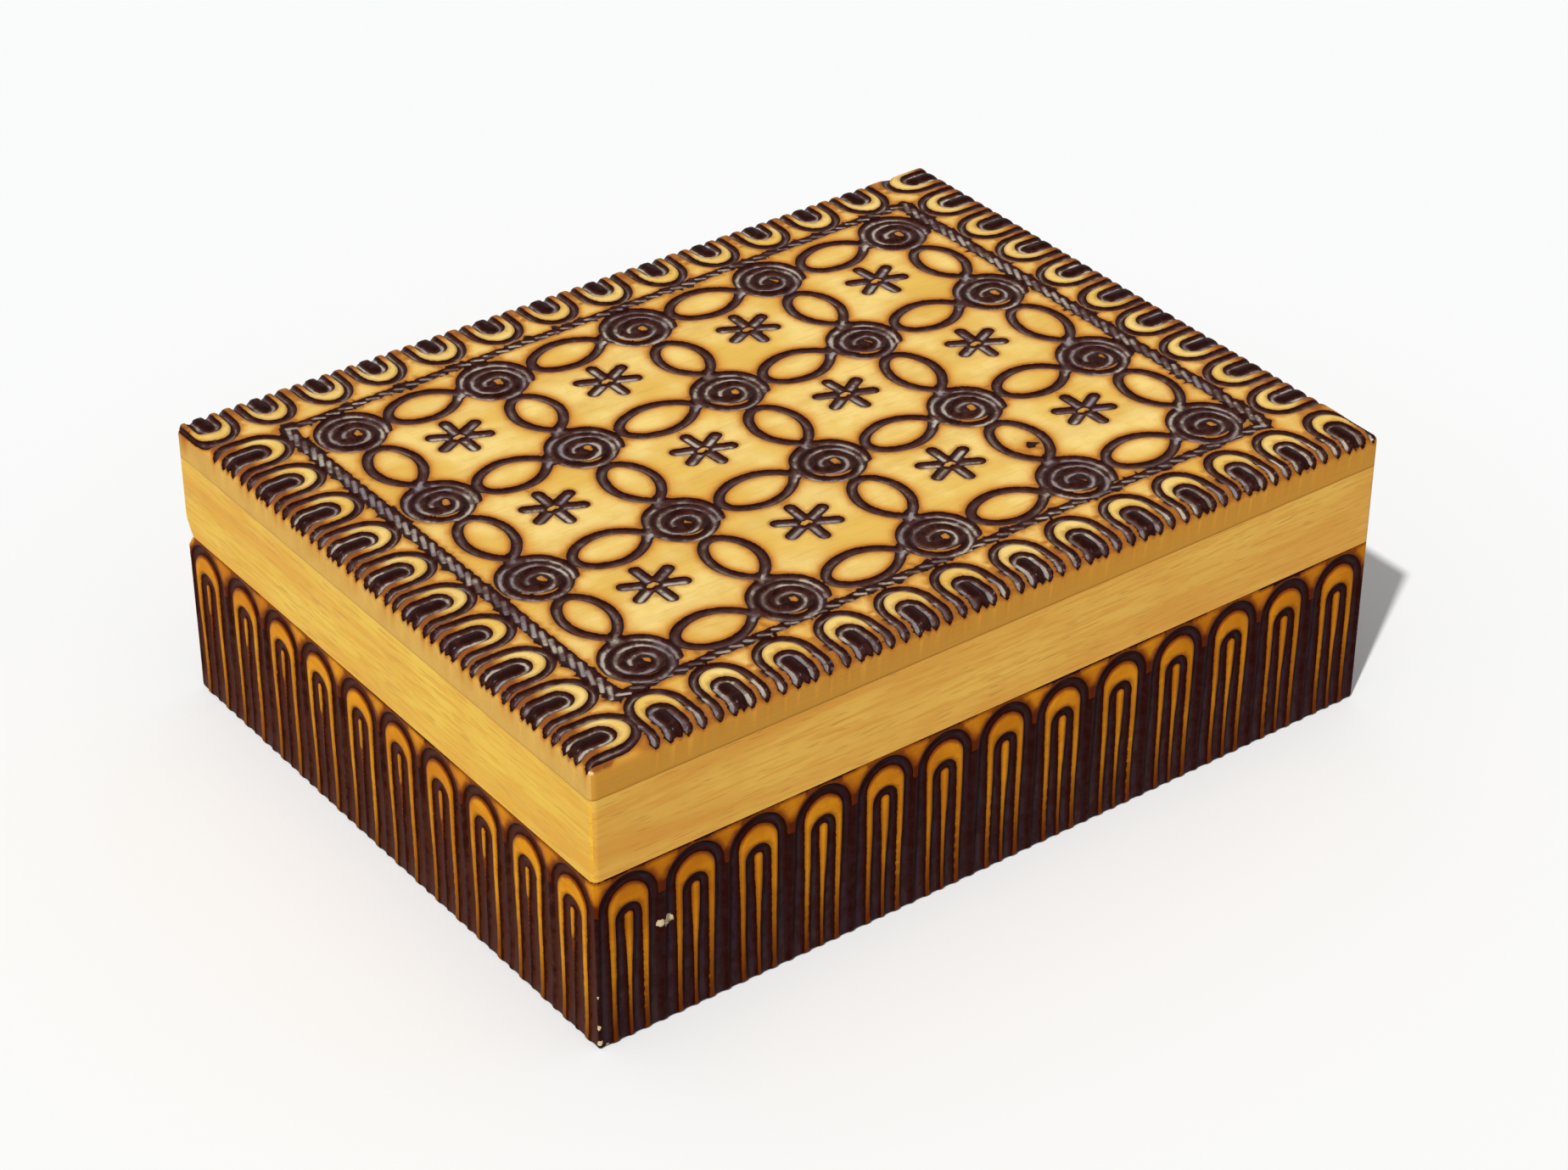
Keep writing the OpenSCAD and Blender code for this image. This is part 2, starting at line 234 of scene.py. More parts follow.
def burnMarksGroup():
    # Turns the distance to a burned stroke's edge, in mm, into masks for the burn, its char and its halo
    tree, given = openTree("burnMarks", "ShaderNodeTree", (
        ("Coordinates", "Vector", None), ("Edge Distance", "Float", 3.0), ("Raggedness", "Float", 0.09),
        ("Halo Reach", "Float", 0.7)))
    ragged = minus(tree, noise(tree, given["Coordinates"], 1300.0, 3.0, 0.65), 0.5)
    wander = minus(tree, noise(tree, given["Coordinates"], 520.0, 3.0, 0.6), 0.5)
    edge = plus(tree, given["Edge Distance"], times(tree, ragged, times(tree, given["Raggedness"], 2.0)))
    inner = plus(tree, edge, times(tree, wander, 0.9))
    return closeTree(tree, "Float", {
        "Burned": spread(tree, edge, 0.07, -0.05), "Floor": spread(tree, inner, -0.18, -0.5),
        "Core": spread(tree, inner, -0.5, -0.82), "Halo": spread(tree, edge, given["Halo Reach"], 0.0)})


woodFibre = woodFibreGroup()
burnMarks = burnMarksGroup()


# Materials

def emptyTree(owner):
    owner.use_nodes = True
    owner.node_tree.nodes.clear()
    return owner.node_tree


def startMaterial(name):
    material = bpy.data.materials.new(name)
    tree = emptyTree(material)
    return material, tree, place(tree, "ShaderNodeTexCoord").outputs["Object"]


def fibresAlong(tree, at, turn, flecks):
    # turn lays the fibres along the piece
    along = place(tree, "ShaderNodeMapping", {"Vector": at, "Rotation": (0, 0, turn)}).outputs[0]
    return place(tree, "ShaderNodeGroup", {"Coordinates": along, "Fleck Amount": flecks},
                 node_tree=woodFibre).outputs


def finishMaterial(tree, inputs, **constants):
    shader = place(tree, "ShaderNodeBsdfPrincipled", inputs)
    for name, value in constants.items():
        shader.inputs[name.replace("_", " ")].default_value = value
    place(tree, "ShaderNodeOutputMaterial", {"Surface": shader.outputs[0]})


def attribute(tree, name):
    return place(tree, "ShaderNodeAttribute", attribute_name=name).outputs["Fac"]


def bump(tree, height, distance):
    return place(tree, "ShaderNodeBump", {"Height": height, "Distance": distance * mm}).outputs[0]


topLook = {
    "pale": (0.96, 0.70, 0.235),
    "golden": (0.84, 0.52, 0.105),
    "fibre": (0.60, 0.31, 0.06),
    "scorched": (0.66, 0.27, 0.035),
    "halo": (0.27, 0.080, 0.016),
    "rim": (0.019, 0.0035, 0.0020),
    "floor": (0.052, 0.016, 0.012),
    "brown": (0.125, 0.038, 0.017),
    # The next two tones are painted sheen: a painted reflection along the burned grooves' floors, pale and
    # greyer
    "ash": (0.54, 0.47, 0.38),
    "sheen": (0.27, 0.225, 0.235),
    "foot": (0.90, 0.64, 0.23),
    "side": (0.84, 0.49, 0.11),
    "stained": (0.74, 0.34, 0.048),
    "gloss": 0.035,
    "specular": 0.02,
}
baseLook = {
    "pale": (0.88, 0.33, 0.014),
    "golden": (0.66, 0.215, 0.008),
    "fibre": (0.44, 0.12, 0.005),
    "scorched": (0.36, 0.085, 0.006),
    "halo": (0.12, 0.020, 0.003),
    "rim": (0.026, 0.0035, 0.0018),
    "floor": (0.032, 0.010, 0.010),
    "brown": (0.055, 0.012, 0.006),
    # The next two tones are painted sheen along the burned grooves' floors: a painted reflection
    "ash": (0.085, 0.052, 0.052),
    "sheen": (0.050, 0.038, 0.062),
    "foot": (0.16, 0.030, 0.003),
    "side": (0.50, 0.19, 0.022),
    "stained": (0.50, 0.19, 0.022),
    "gloss": 0.015,
    "specular": 0.015,
}
# The short sides are paler, with lighter and redder burns; in part this is painted light, the look of a
# sunlit side
shortLook = {**baseLook, "pale": (1.0, 0.42, 0.016), "golden": (0.76, 0.26, 0.009),
             "rim": (0.034, 0.006, 0.002), "floor": (0.075, 0.020, 0.011), "brown": (0.14, 0.034, 0.012),
             "sheen": (0.085, 0.042, 0.042)}
bareTone = (0.82, 0.64, 0.37)


def carvedWood(name, look, turn, footLow, footHigh, bareSpots):
    # Between footLow and footHigh the ground darkens downwards; at the very foot, along its rounding, this is
    # painted shade.
    # bareSpots is a list of (place in mm, reach in mm) where the surface has chipped off
    material, tree, at = startMaterial(name)
    wood = fibresAlong(tree, at, turn, 0.5)
    marks = place(tree, "ShaderNodeGroup", {"Coordinates": at, "Edge Distance": attribute(tree, "edge")},
                  node_tree=burnMarks).outputs
    burned = marks["Burned"]
    height = place(tree, "ShaderNodeSeparateXYZ", {0: at}).outputs[2]
    stain = attribute(tree, "stain")
    heated = times(tree, attribute(tree, "scorch"), minus(tree, 1.0, attribute(tree, "glow")))
    ground = look["pale"]
    for mask, tone in (
            (spread(tree, wood["Clouds"], 0.38, 0.66), "golden"),
            (times(tree, spread(tree, noise(tree, at, 330.0, 3.0, 0.6), 0.44, 0.68), 0.4), "golden"),
            (spread(tree, stain, 0.0, 0.5), "side"),
            (spread(tree, stain, 0.5, 1.0), "stained"),
            (times(tree, spread(tree, wood["Figure"], 0.4, 0.7), 0.26), "fibre"),
            (times(tree, wood["Flecks"], 0.45), "fibre"),
            (spread(tree, heated, 0.0, 0.55), "scorched"),
            # darker towards the foot, and painted shade along the foot's rounding
            (times(tree, spread(tree, height, footHigh, footLow), 0.95), "foot"),
            (spread(tree, heated, 0.45, 0.95), "halo"),
            (times(tree, marks["Halo"], 0.5), "halo")):
        ground = mixColour(tree, mask, ground, look[tone])
    patchy = spread(tree, noise(tree, at, 260.0, 3.0, 0.6), 0.42, 0.62)
    brown = times(tree, patchy, plus(tree, 0.1, attribute(tree, "heat")))
    floor = mixColour(tree, brown, look["floor"], look["brown"])
    streaks = spread(tree, noise(tree, at, 300.0, 4.0, 0.65), 0.4, 0.58, 0.2, 1.0)
    # Painted sheen: pale streaks of painted reflection along the grooves' floors, laid over the burn colour
    pale = times(tree, attribute(tree, "ash"), marks["Core"], streaks)
    sheenTone = mixColour(tree, spread(tree, wood["Clouds"], 0.4, 0.6), look["ash"], look["sheen"])
    burn = mixColour(tree, pale, mixColour(tree, marks["Floor"], look["rim"], floor), sheenTone)
    chipped = bareMask(tree, at, bareSpots)
    colour = mixColour(tree, chipped, mixColour(tree, burned, ground, burn), bareTone)
    soot = noise(tree, at, 1900.0, 3.0, 0.6)
    rough = mixValue(tree, burned, spread(tree, wood["Fibres"], 0.3, 0.7, 0.34, 0.46, "LINEAR"),
                     spread(tree, soot, 0.3, 0.7, 0.3, 0.5, "LINEAR"))
    coat = times(tree, burned, streaks, look["gloss"], minus(tree, 1.0, chipped))
    normal = bump(tree, mixValue(tree, burned, wood["Height"], soot), 0.035)
    finishMaterial(tree, {"Base Color": colour, "Roughness": rough, "Coat Weight": coat, "Normal": normal},
                   IOR=1.5, Specular_IOR_Level=look["specular"], Coat_Roughness=0.2, Coat_IOR=1.6)
    return material


def bareMask(tree, at, spots):
    # Ragged patches round the given places, and a pale line down an upright edge where a spot's place has no
    # height
    mask = 0.0
    ragged = minus(tree, noise(tree, at, 1100.0, 3.0, 0.65), 0.5)
    for spot, reach in spots:
        keep = (1, 1, 0) if spot[2] is None else (1, 1, 1)
        flat = place(tree, "ShaderNodeVectorMath", {0: at, 1: keep}, operation="MULTIPLY").outputs[0]
        centre = tuple((v or 0) * mm for v in spot)
        away = place(tree, "ShaderNodeVectorMath", {0: flat, 1: centre}, operation="DISTANCE")
        away = plus(tree, away.outputs["Value"], times(tree, ragged, 1.6 * reach * mm))
        mask = highest(tree, mask, spread(tree, away, reach * mm, reach * 0.75 * mm))
    return mask


def plainWood(name, light, dark, fleck, turn, rough, bareSpots):
    material, tree, at = startMaterial(name)
    wood = fibresAlong(tree, at, turn, 0.8)
    colour = light
    for mask, tone in (
            (spread(tree, wood["Figure"], 0.35, 0.72), dark),
            (times(tree, wood["Flecks"], 0.6), fleck),
            (times(tree, spread(tree, wood["Fibres"], 0.45, 0.65), 0.6), dark),
            (times(tree, spread(tree, wood["Clouds"], 0.35, 0.7), 0.4), dark),
            (times(tree, bareMask(tree, at, bareSpots), 0.8), bareTone)):
        colour = mixColour(tree, mask, colour, tone)
    roughness = spread(tree, wood["Fibres"], 0.3, 0.7, rough, rough + 0.14, "LINEAR")
    normal = bump(tree, wood["Height"], 0.03)
    finishMaterial(tree, {"Base Color": colour, "Roughness": roughness, "Normal": normal},
                   IOR=1.5, Specular_IOR_Level=0.2)
    return material


def metal(name, colour, tarnish, rough):
    material, tree, at = startMaterial(name)
    spots = spread(tree, noise(tree, at, 420.0, 4.0, 0.6), 0.42, 0.7)
    roughness = spread(tree, noise(tree, at, 1500.0, 3.0, 0.6), 0.3, 0.7, rough, rough + 0.2, "LINEAR")
    normal = bump(tree, noise(tree, at, 2600.0, 2.0, 0.5), 0.01)
    finishMaterial(tree, {"Base Color": mixColour(tree, spots, colour, tarnish), "Roughness": roughness,
                          "Normal": normal}, Metallic=1.0)
    return material


quarter = math.pi / 2
# Wear and chips: places in mm with their reach; a place without height gives a pale line down an upright edge
baseWear = [((-69.9, -63.5, 20.0), 0.8), ((-68.2, -63.5, 19.7), 1.2), ((-82.2, -63.2, 10.6), 0.35),
            ((-82.2, -63.2, 4.4), 0.6), ((-82.0, -63.2, 1.4), 0.55), ((-80.6, -63.5, 0.4), 0.5)]
boardWear = [((-81.9, -62.9, 54.0), 0.5), ((81.0, -62.9, 54.3), 0.5), ((77.0, -62.9, 54.0), 0.45)]
# A pale line down the lid's front left upright corner
lidCornerLine = [((-82.5, -63.5, None), 0.35)]
boardWood = carvedWood("boardWood", topLook, 0.0, -1.0, -0.9, boardWear)
baseWoodLong = carvedWood("baseWoodLong", baseLook, 0.0, 0.001, 0.015, baseWear)
baseWoodShort = carvedWood("baseWoodShort", shortLook, quarter, -0.004, 0.014, baseWear)
# Light, dark and fleck of each plain wood
lacquer = ((1.0, 0.585, 0.097), (0.84, 0.37, 0.047), (0.50, 0.20, 0.025))
# The short lid walls are paler and yellower, in part painted light: the look of a sunlit side
shortLacquer = ((1.0, 0.64, 0.070), (0.88, 0.42, 0.034), (0.60, 0.26, 0.025))
amber = ((0.80, 0.30, 0.016), (0.52, 0.15, 0.008), (0.30, 0.07, 0.004))
raw = ((0.80, 0.57, 0.28), (0.70, 0.46, 0.20), (0.50, 0.29, 0.11))
lidWoodLong = plainWood("lidWoodLong", *lacquer, 0.0, 0.36, lidCornerLine)
lidWoodShort = plainWood("lidWoodShort", *shortLacquer, quarter, 0.36, lidCornerLine)
seamWood = plainWood("seamWood", *amber, 0.0, 0.4, [])
rawWoodLong = plainWood("rawWoodLong", *raw, 0.0, 0.55, [])
rawWoodShort = plainWood("rawWoodShort", *raw, quarter, 0.55, [])
brass = metal("dulledBrass", (0.72, 0.52, 0.22), (0.42, 0.27, 0.09), 0.3)
steel = metal("pinSteel", (0.58, 0.57, 0.55), (0.36, 0.33, 0.30), 0.32)
print("materials made")


# Flat strokes: motifs are polylines, and a tree lays them out in rows

def stampRowsTree():
    tree, given = openTree("stampRows", "GeometryNodeTree", (
        ("Geometry", "Geometry", None), ("Columns", "Int", 1), ("Rows", "Int", 1),
        ("Column Step", "Float", 0.03), ("Row Step", "Float", 0.03), ("Shift", "Float", 0.0),
        ("Turn", "Float", 0.0), ("Growth", "Float", 0.0), ("Seed", "Int", 1), ("Material", "Material", None)))
    wide = times(tree, minus(tree, given["Columns"], 1.0), given["Column Step"])
    tall = times(tree, minus(tree, given["Rows"], 1.0), given["Row Step"])
    grid = place(tree, "GeometryNodeMeshGrid", {
        "Size X": wide, "Size Y": tall, "Vertices X": given["Columns"], "Vertices Y": given["Rows"]})

    def chance(limit, extra):
        low = times(tree, limit, -1.0)
        seed = plus(tree, given["Seed"], float(extra))
        node = place(tree, "FunctionNodeRandomValue", {2: low, 3: limit, 8: seed}, data_type="FLOAT")
        return node.outputs[1]

    shift = vector(tree, chance(given["Shift"], 1), chance(given["Shift"], 2))
    spots = place(tree, "GeometryNodeSetPosition", {"Geometry": grid.outputs[0], "Offset": shift})
    turn = vector(tree, z=chance(given["Turn"], 3))
    growth = plus(tree, 1.0, chance(given["Growth"], 4))
    stamps = place(tree, "GeometryNodeInstanceOnPoints", {
        "Points": spots.outputs[0], "Instance": given["Geometry"], "Rotation": turn, "Scale": growth})
    heat = plus(tree, 0.5, chance(0.5, 5))
    kept = keepValue(tree, stamps.outputs[0], "heat", heat, "INSTANCE")
    return closeGeometry(tree, kept, given["Material"])


stampRows = stampRowsTree()


def strokeMesh(name, points, edges, kind):
    mesh = bpy.data.meshes.new(name)
    mesh.from_pydata([(*point, 0) for point in points], np.asarray(edges).tolist(), [])
    addValues(mesh, "kind", kind, "INT")
    return mesh


def stamp(name, kinds, lines, columns=1, rows=1, columnStep=1, rowStep=1, stray=(0, 0, 0), seed=1):
    # lines is a list of (kind, points in mm). stray is how far each copy is shifted (mm), turned (degrees)
    # and scaled (share) at random
    shift, turn, growth = stray
    points, edges, numbers = [], [], []
    for kind, line in lines:
        start = len(points)
        points += [(x * mm, y * mm) for x, y in line]
        edges += [(start + i, start + i + 1) for i in range(len(line) - 1)]
        numbers += [list(kinds).index(kind)] * len(line)
    mesh = runTree(name, strokeMesh(name, points, edges, numbers), stampRows, {
        "Columns": columns, "Rows": rows, "Column Step": columnStep * mm, "Row Step": rowStep * mm,
        "Shift": shift * mm, "Turn": math.radians(turn), "Growth": growth, "Seed": seed,
        "Material": boardWood})
    return {"points": readValues(mesh.vertices, "co", 3)[:, :2],
            "edges": readValues(mesh.edges, "vertices", 2, np.int32),
            "kind": readValues(mesh.attributes["kind"].data, "value", 1, np.int32),
            "heat": readValues(mesh.attributes["heat"].data, "value")}


def moved(strokes, turn, x, y):
    turned = np.array(((math.cos(turn), math.sin(turn)), (-math.sin(turn), math.cos(turn))))
    return {**strokes, "points": strokes["points"] @ turned + (x, y)}


def joined(parts):
    starts = np.cumsum([0] + [len(p["points"]) for p in parts[:-1]])
    parts = [{**p, "edges": p["edges"] + start} for p, start in zip(parts, starts)]
    return {label: np.concatenate([p[label] for p in parts]) for label in parts[0]}


def archLine(reach, centre, foot, step=0.6, tall=1.0):
    # Up one leg, over the arch and down the other, opening downwards; sizes in mm
    legSteps = max(2, round((centre - foot) / step))
    leg = [(-reach, foot + (centre - foot) * i / legSteps) for i in range(legSteps)]
    turns = max(6, round(math.pi * reach / 0.5))
    crown = [(-reach * math.cos(math.pi * i / turns), centre + tall * reach * math.sin(math.pi * i / turns))
             for i in range(turns + 1)]
    return leg + crown + [(-x, y) for x, y in reversed(leg)]


def straightLine(x0, y0, x1, y1, step=0.6):
    count = max(1, round(math.hypot(x1 - x0, y1 - y0) / step))
    return [(x0 + (x1 - x0) * i / count, y0 + (y1 - y0) * i / count) for i in range(count + 1)]


def smoothLine(points, step=0.6):
    # A Catmull-Rom curve through the points
    ends = [points[0]] + list(points) + [points[-1]]
    line = []
    for a, b, c, d in zip(ends, ends[1:], ends[2:], ends[3:]):
        count = max(1, round(math.dist(b, c) / step))
        for i in range(count):
            t = i / count
            line.append(tuple(0.5 * (2 * q + (r - p) * t + (2 * p - 5 * q + 4 * r - s) * t * t
                                     + (3 * q - p - 3 * r + s) * t ** 3)
                              for p, q, r, s in zip(a, b, c, d)))
    return line + [points[-1]]


def direction(degrees):
    return math.cos(math.radians(degrees)), math.sin(math.radians(degrees))


# Pressing the strokes into a flat sheet

pressLabels = (" half width", " depth", " reach", " strength", " ash", " ash share")
groove = {
    # how deep a groove is at some of its half widths from the middle: (share of reach, share of depth)
    "profile": ((0.25, 0.955), (0.5, 0.77), (0.7, 0.44), (0.82, 0.15)),
    "reach": 1.2,       # in half widths, where the groove ends
    "fade": 0.05 * mm,  # how far the painted sheen fades out on both sides of the edge
    "soot": -0.3 * mm,  # flat burns never get darker than they are this far inside their edge
}


def strokeKinds(kinds):
    # kinds is {name: (role, half width, depth and scorch reach in mm, scorch strength, painted sheen, sheen
    # share)}.
    # A groove is sunk and burned, with a pale painted sheen, a painted reflection, along its floor, which
    # fades out at its share of the half width. An oval carries that painted sheen nearly all over. A burn is
    # flat, a shade only scorches, a light keeps the ground pale and a bare stroke stays unburned
    return {name: (role, half * mm, depth * mm, reach * mm, *shares)
            for name, (role, half, depth, reach, *shares) in kinds.items()}


def pressTree(kinds):
    sockets = [("Geometry", "Geometry", None), ("Strokes", "Object", None), ("Wobble", "Float", 0.08),
               ("Wobble Scale", "Float", 350.0), ("Material", "Material", None)]
    sockets += [(name + label, "Float", 0.001) for name in kinds for label in pressLabels]
    tree, given = openTree("pressStrokes", "GeometryNodeTree", sockets)
    lines = place(tree, "GeometryNodeObjectInfo", {"Object": given["Strokes"]}).outputs["Geometry"]
    group = named(tree, "kind", "INT")
    at = place(tree, "GeometryNodeInputPosition").outputs[0]
    wobble = minus(tree, noise(tree, at, given["Wobble Scale"]), 0.5)
    wobble = times(tree, wobble, times(tree, given["Wobble"], 2 * mm))
    shifted = plus(tree, wobble, times(tree, named(tree, "taper"), mm))
    deep, cool, glow, ash, edge = 0.0, 1.0, 0.0, 0.0, 1.0
    for index, (name, sizes) in enumerate(kinds.items()):
        role = sizes[0]
        half, depth, reach, strength, sheenAmount, sheenShare = (given[name + label] for label in pressLabels)
        near = place(tree, "GeometryNodeProximity", {"Geometry": lines, "Group ID": group,
                                                     "Sample Group ID": index}, target_element="EDGES")
        missing = minus(tree, 1.0, near.outputs["Is Valid"])  # far away where a sheet has none
        away = plus(tree, near.outputs["Distance"], shifted, missing)
        outside = minus(tree, away, half)
        inside = times(tree, spread(tree, away, half, times(tree, half, 0.3)), strength)
        if role == "light":
            glow = highest(tree, glow, inside)
        elif role == "shade":
            cool = times(tree, cool, minus(tree, 1.0, inside))
        elif role == "bare":
            edge = highest(tree, edge, times(tree, outside, -1.0))
        else:
            reached = outside
            if role == "burn":
                reached = highest(tree, outside, groove["soot"])
            elif role == "oval":
                reached = times(tree, outside, 4.0)
            edge = calc(tree, "MINIMUM", edge, reached)
            fall = divide(tree, highest(tree, outside, 0.0), reach)
            warm = calc(tree, "EXPONENT", times(tree, fall, -1.0))
            cool = times(tree, cool, minus(tree, 1.0, times(tree, warm, strength)))
        if role in ("groove", "oval"):
            share = divide(tree, away, half)
            reachShare = divide(tree, share, groove["reach"])
            profile = place(tree, "ShaderNodeFloatCurve", {"Value": reachShare})
            curve = profile.mapping.curves[0]
            for point in groove["profile"]:
                curve.points.new(*point)
            curve.points[0].location = (0, 1)
            curve.points[-1].location = (1, 0)
            profile.mapping.update()
            deep = highest(tree, deep, times(tree, profile.outputs[0], depth))
            # The line of painted sheen, a painted reflection, along the groove's floor
            line = times(tree, spread(tree, share, sheenShare, 0.0), sheenAmount)
            ash = mixValue(tree, spread(tree, outside, groove["fade"], -groove["fade"]), ash, line)
    nearest = place(tree, "GeometryNodeSampleNearest", {"Geometry": lines}, domain="POINT").outputs[0]
    heat = place(tree, "GeometryNodeSampleIndex", {"Geometry": lines, "Value": named(tree, "heat"),
                                                   "Index": nearest}, data_type="FLOAT", domain="POINT")
    # The values are read on the flat sheet, before it sinks
    geometry = given["Geometry"]
    for label, value in (("edge", divide(tree, edge, mm)), ("scorch", minus(tree, 1.0, cool)),
                         ("glow", glow), ("heat", heat.outputs[0]), ("ash", ash)):
        geometry = keepValue(tree, geometry, label, value)
    fall = vector(tree, z=times(tree, deep, -1.0))
    geometry = place(tree, "GeometryNodeSetPosition", {"Geometry": geometry, "Offset": fall}).outputs[0]
    return closeGeometry(tree, geometry, given["Material"])


sheetMesh = {
    "shares": (0.0, 0.42, 0.78, 1.15),       # where rows of points follow a stroke, in half widths
    "capTurns": (-72, -36, 0, 36, 72),       # points round a stroke's end, in degrees
    "thin": 0.18 * mm,                       # points nearer than this are merged
    "ground": 1.25 * mm,                     # spacing of points on the plain ground
    "rim": 0.5 * mm,                         # spacing along the sheet's edges
    "margin": 0.14 * mm,                     # between those and the points inside
    "clear": 1.45 * mm,                      # between the plain ground's points and the strokes
    "overlap": 0.05 * mm,                    # how much two strokes' rows may overlap
    "finds": 8,                              # points on each edge, to find the nearest stroke
}


def thinned(points, cell):
    for shift in (0.0, 0.5):
        keys = np.floor(points / cell + shift).astype(np.int64)
        first = np.unique(keys, axis=0, return_index=True)[1]
        points = points[np.sort(first)]
    return points


def sheetPoints(strokes, kinds, low, high, extra):
    low, high = np.array(low), np.array(high)
    values = list(kinds.values())
    halfWidths = np.array([v[1] for v in values])
    burned = np.array([v[0] in ("groove", "oval") for v in values])
    edges = strokes["edges"][burned[strokes["kind"][strokes["edges"][:, 0]]]]
    starts, ends = strokes["points"][edges[:, 0]], strokes["points"][edges[:, 1]]
    half = halfWidths[strokes["kind"][edges[:, 0]]][:, None]
    run = ends - starts
    length = np.linalg.norm(run, axis=1, keepdims=True)
    along = run / length
    across = np.column_stack([-along[:, 1], along[:, 0]])

    fine = sheetMesh["finds"]
    tree = KDTree(len(edges) * fine)
    steps = (np.arange(fine) + 0.5) / fine
    dense = (starts[:, None] + run[:, None] * steps[None, :, None]).reshape(-1, 2)
    for index, (x, y) in enumerate(dense.tolist()):
        tree.insert((x, y, 0), index)
    tree.balance()

    def clearance(points):
        return np.array([tree.find((x, y, 0))[2] for x, y in points.tolist()])

    middles = (starts + ends) / 2
    groups = [middles]
    for share in sheetMesh["shares"][1:]:
        reach = half * share
        ring = np.concatenate([middles + across * reach, middles - across * reach])
        reaches = np.concatenate([reach, reach])[:, 0]
        groups.append(ring[clearance(ring) > reaches - sheetMesh["overlap"]])
    # Points round the open ends of the strokes
    uses = np.bincount(edges.ravel(), minlength=len(strokes["points"]))
    for side, sign in ((0, -1), (1, 1)):
        tips = uses[edges[:, side]] == 1
        centre, outward = strokes["points"][edges[tips, side]], along[tips] * sign
        beside = np.column_stack([-outward[:, 1], outward[:, 0]])
        for share in sheetMesh["shares"][1:]:
            for angle in sheetMesh["capTurns"]:
                c, s = direction(angle)
                reach = half[tips] * share
                ring = centre + (outward * c + beside * s) * reach
                groups.append(ring[clearance(ring) > reach[:, 0] - sheetMesh["overlap"]])
    # Points along the ground that stays pale between two strokes
    lit = np.array([v[0] == "light" for v in values])
    groups.append(strokes["points"][lit[strokes["kind"]]])
    # Plain ground, in staggered rows
    step = sheetMesh["ground"]
    rowStep = step * 0.87
    for i, y in enumerate(np.arange(low[1], high[1], rowStep)):
        row = np.arange(low[0] + (i % 2) * step / 2, high[0], step)
        row = np.column_stack([row, np.full(len(row), y)])
        groups.append(row[clearance(row) > sheetMesh["clear"]])
    points = np.concatenate(groups[:1] + [np.array(extra).reshape(-1, 2)] + groups[1:])
    margin = sheetMesh["margin"]
    inside = np.all((points > low + margin) & (points < high - margin), axis=1)
    points = thinned(points[inside], sheetMesh["thin"])
    # The rectangle's own edge
    across, up = (np.linspace(low[i], high[i], round((high[i] - low[i]) / sheetMesh["rim"]) + 1)
                  for i in (0, 1))
    rim = [(x, y) for x in across for y in (low[1], high[1])]
    rim += [(x, y) for x in (low[0], high[0]) for y in up[1:-1]]
    return np.concatenate([points, rim])


def pressSheet(name, strokes, kinds, tree, low, high, extra, wobble, taper):
    # taper gives, for flat points, how much narrower the strokes are there on each side, in mm
    points = sheetPoints(strokes, kinds, low, high, extra)
    result = delaunay_2d_cdt([Vector(p) for p in points.tolist()], [], [], 0, 1e-9)
    mesh = bpy.data.meshes.new(name)
    mesh.from_pydata([(v.x, v.y, 0) for v in result[0]], [], result[2])
    addValues(mesh, "taper", taper(np.array([tuple(v) for v in result[0]])))
    lines = strokeMesh(name + "Lines", strokes["points"], strokes["edges"], strokes["kind"])
    addValues(lines, "heat", strokes["heat"])
    linesBody = addObject(name + "Lines", lines)
    values = {"Strokes": linesBody, "Wobble": wobble, "Material": boardWood}
    for stroke, sizes in kinds.items():
        values |= {stroke + label: float(size) for label, size in zip(pressLabels, sizes[1:])}
    pressed = runTree(name, mesh, tree, values)
    bpy.data.objects.remove(linesBody)
    spots = readValues(pressed.vertices, "co", 3)
    sheet = {"flat": spots[:, :2], "deep": -spots[:, 2],
             "faces": readValues(pressed.polygons, "vertices", 3, np.int32)}
    for label in ("edge", "scorch", "glow", "heat", "ash"):
        sheet[label] = readValues(pressed.attributes[label].data, "value")
    print(name, len(spots), "points,", len(sheet["faces"]), "triangles")
    return sheet


# What the surfaces carry away from the burned strokes
plainValues = {"edge": 6.0, "scorch": 0.0, "glow": 0.0, "heat": 0.5, "ash": 0.0, "stain": 0.0}


def makePiece(name, sheet, spots, moreSpots, moreFaces, materials):
    # The wrapped sheet with the piece's other faces, which share its edge points.
    # moreFaces is a list of (points, material number, smooth)
    mesh = bpy.data.meshes.new(name)
    start, plainCount = len(spots), len(sheet["faces"])
    allSpots = np.concatenate([spots, np.array(moreSpots).reshape(-1, 3)])
    mesh.from_pydata(allSpots.tolist(), [], sheet["faces"].tolist() + [f[0] for f in moreFaces])
    mesh.polygons.foreach_set("material_index", [0] * plainCount + [f[1] for f in moreFaces])
    mesh.polygons.foreach_set("use_smooth", [True] * plainCount + [f[2] for f in moreFaces])
    for label, plain in plainValues.items():
        values = np.full(len(allSpots), plain)
        values[:start] = sheet.get(label, plain)
        values[start:] = sheet.get(label + "Rest", plain)
        addValues(mesh, label, values)
    for material in materials:
        mesh.materials.append(material)
    return addObject(name, mesh)


def sideHalves(side):
    # Half of a side's length, and how far out the side lies
    return (halfLong, halfDeep) if side % 2 == 0 else (halfDeep, halfLong)


# The carved board on the lid

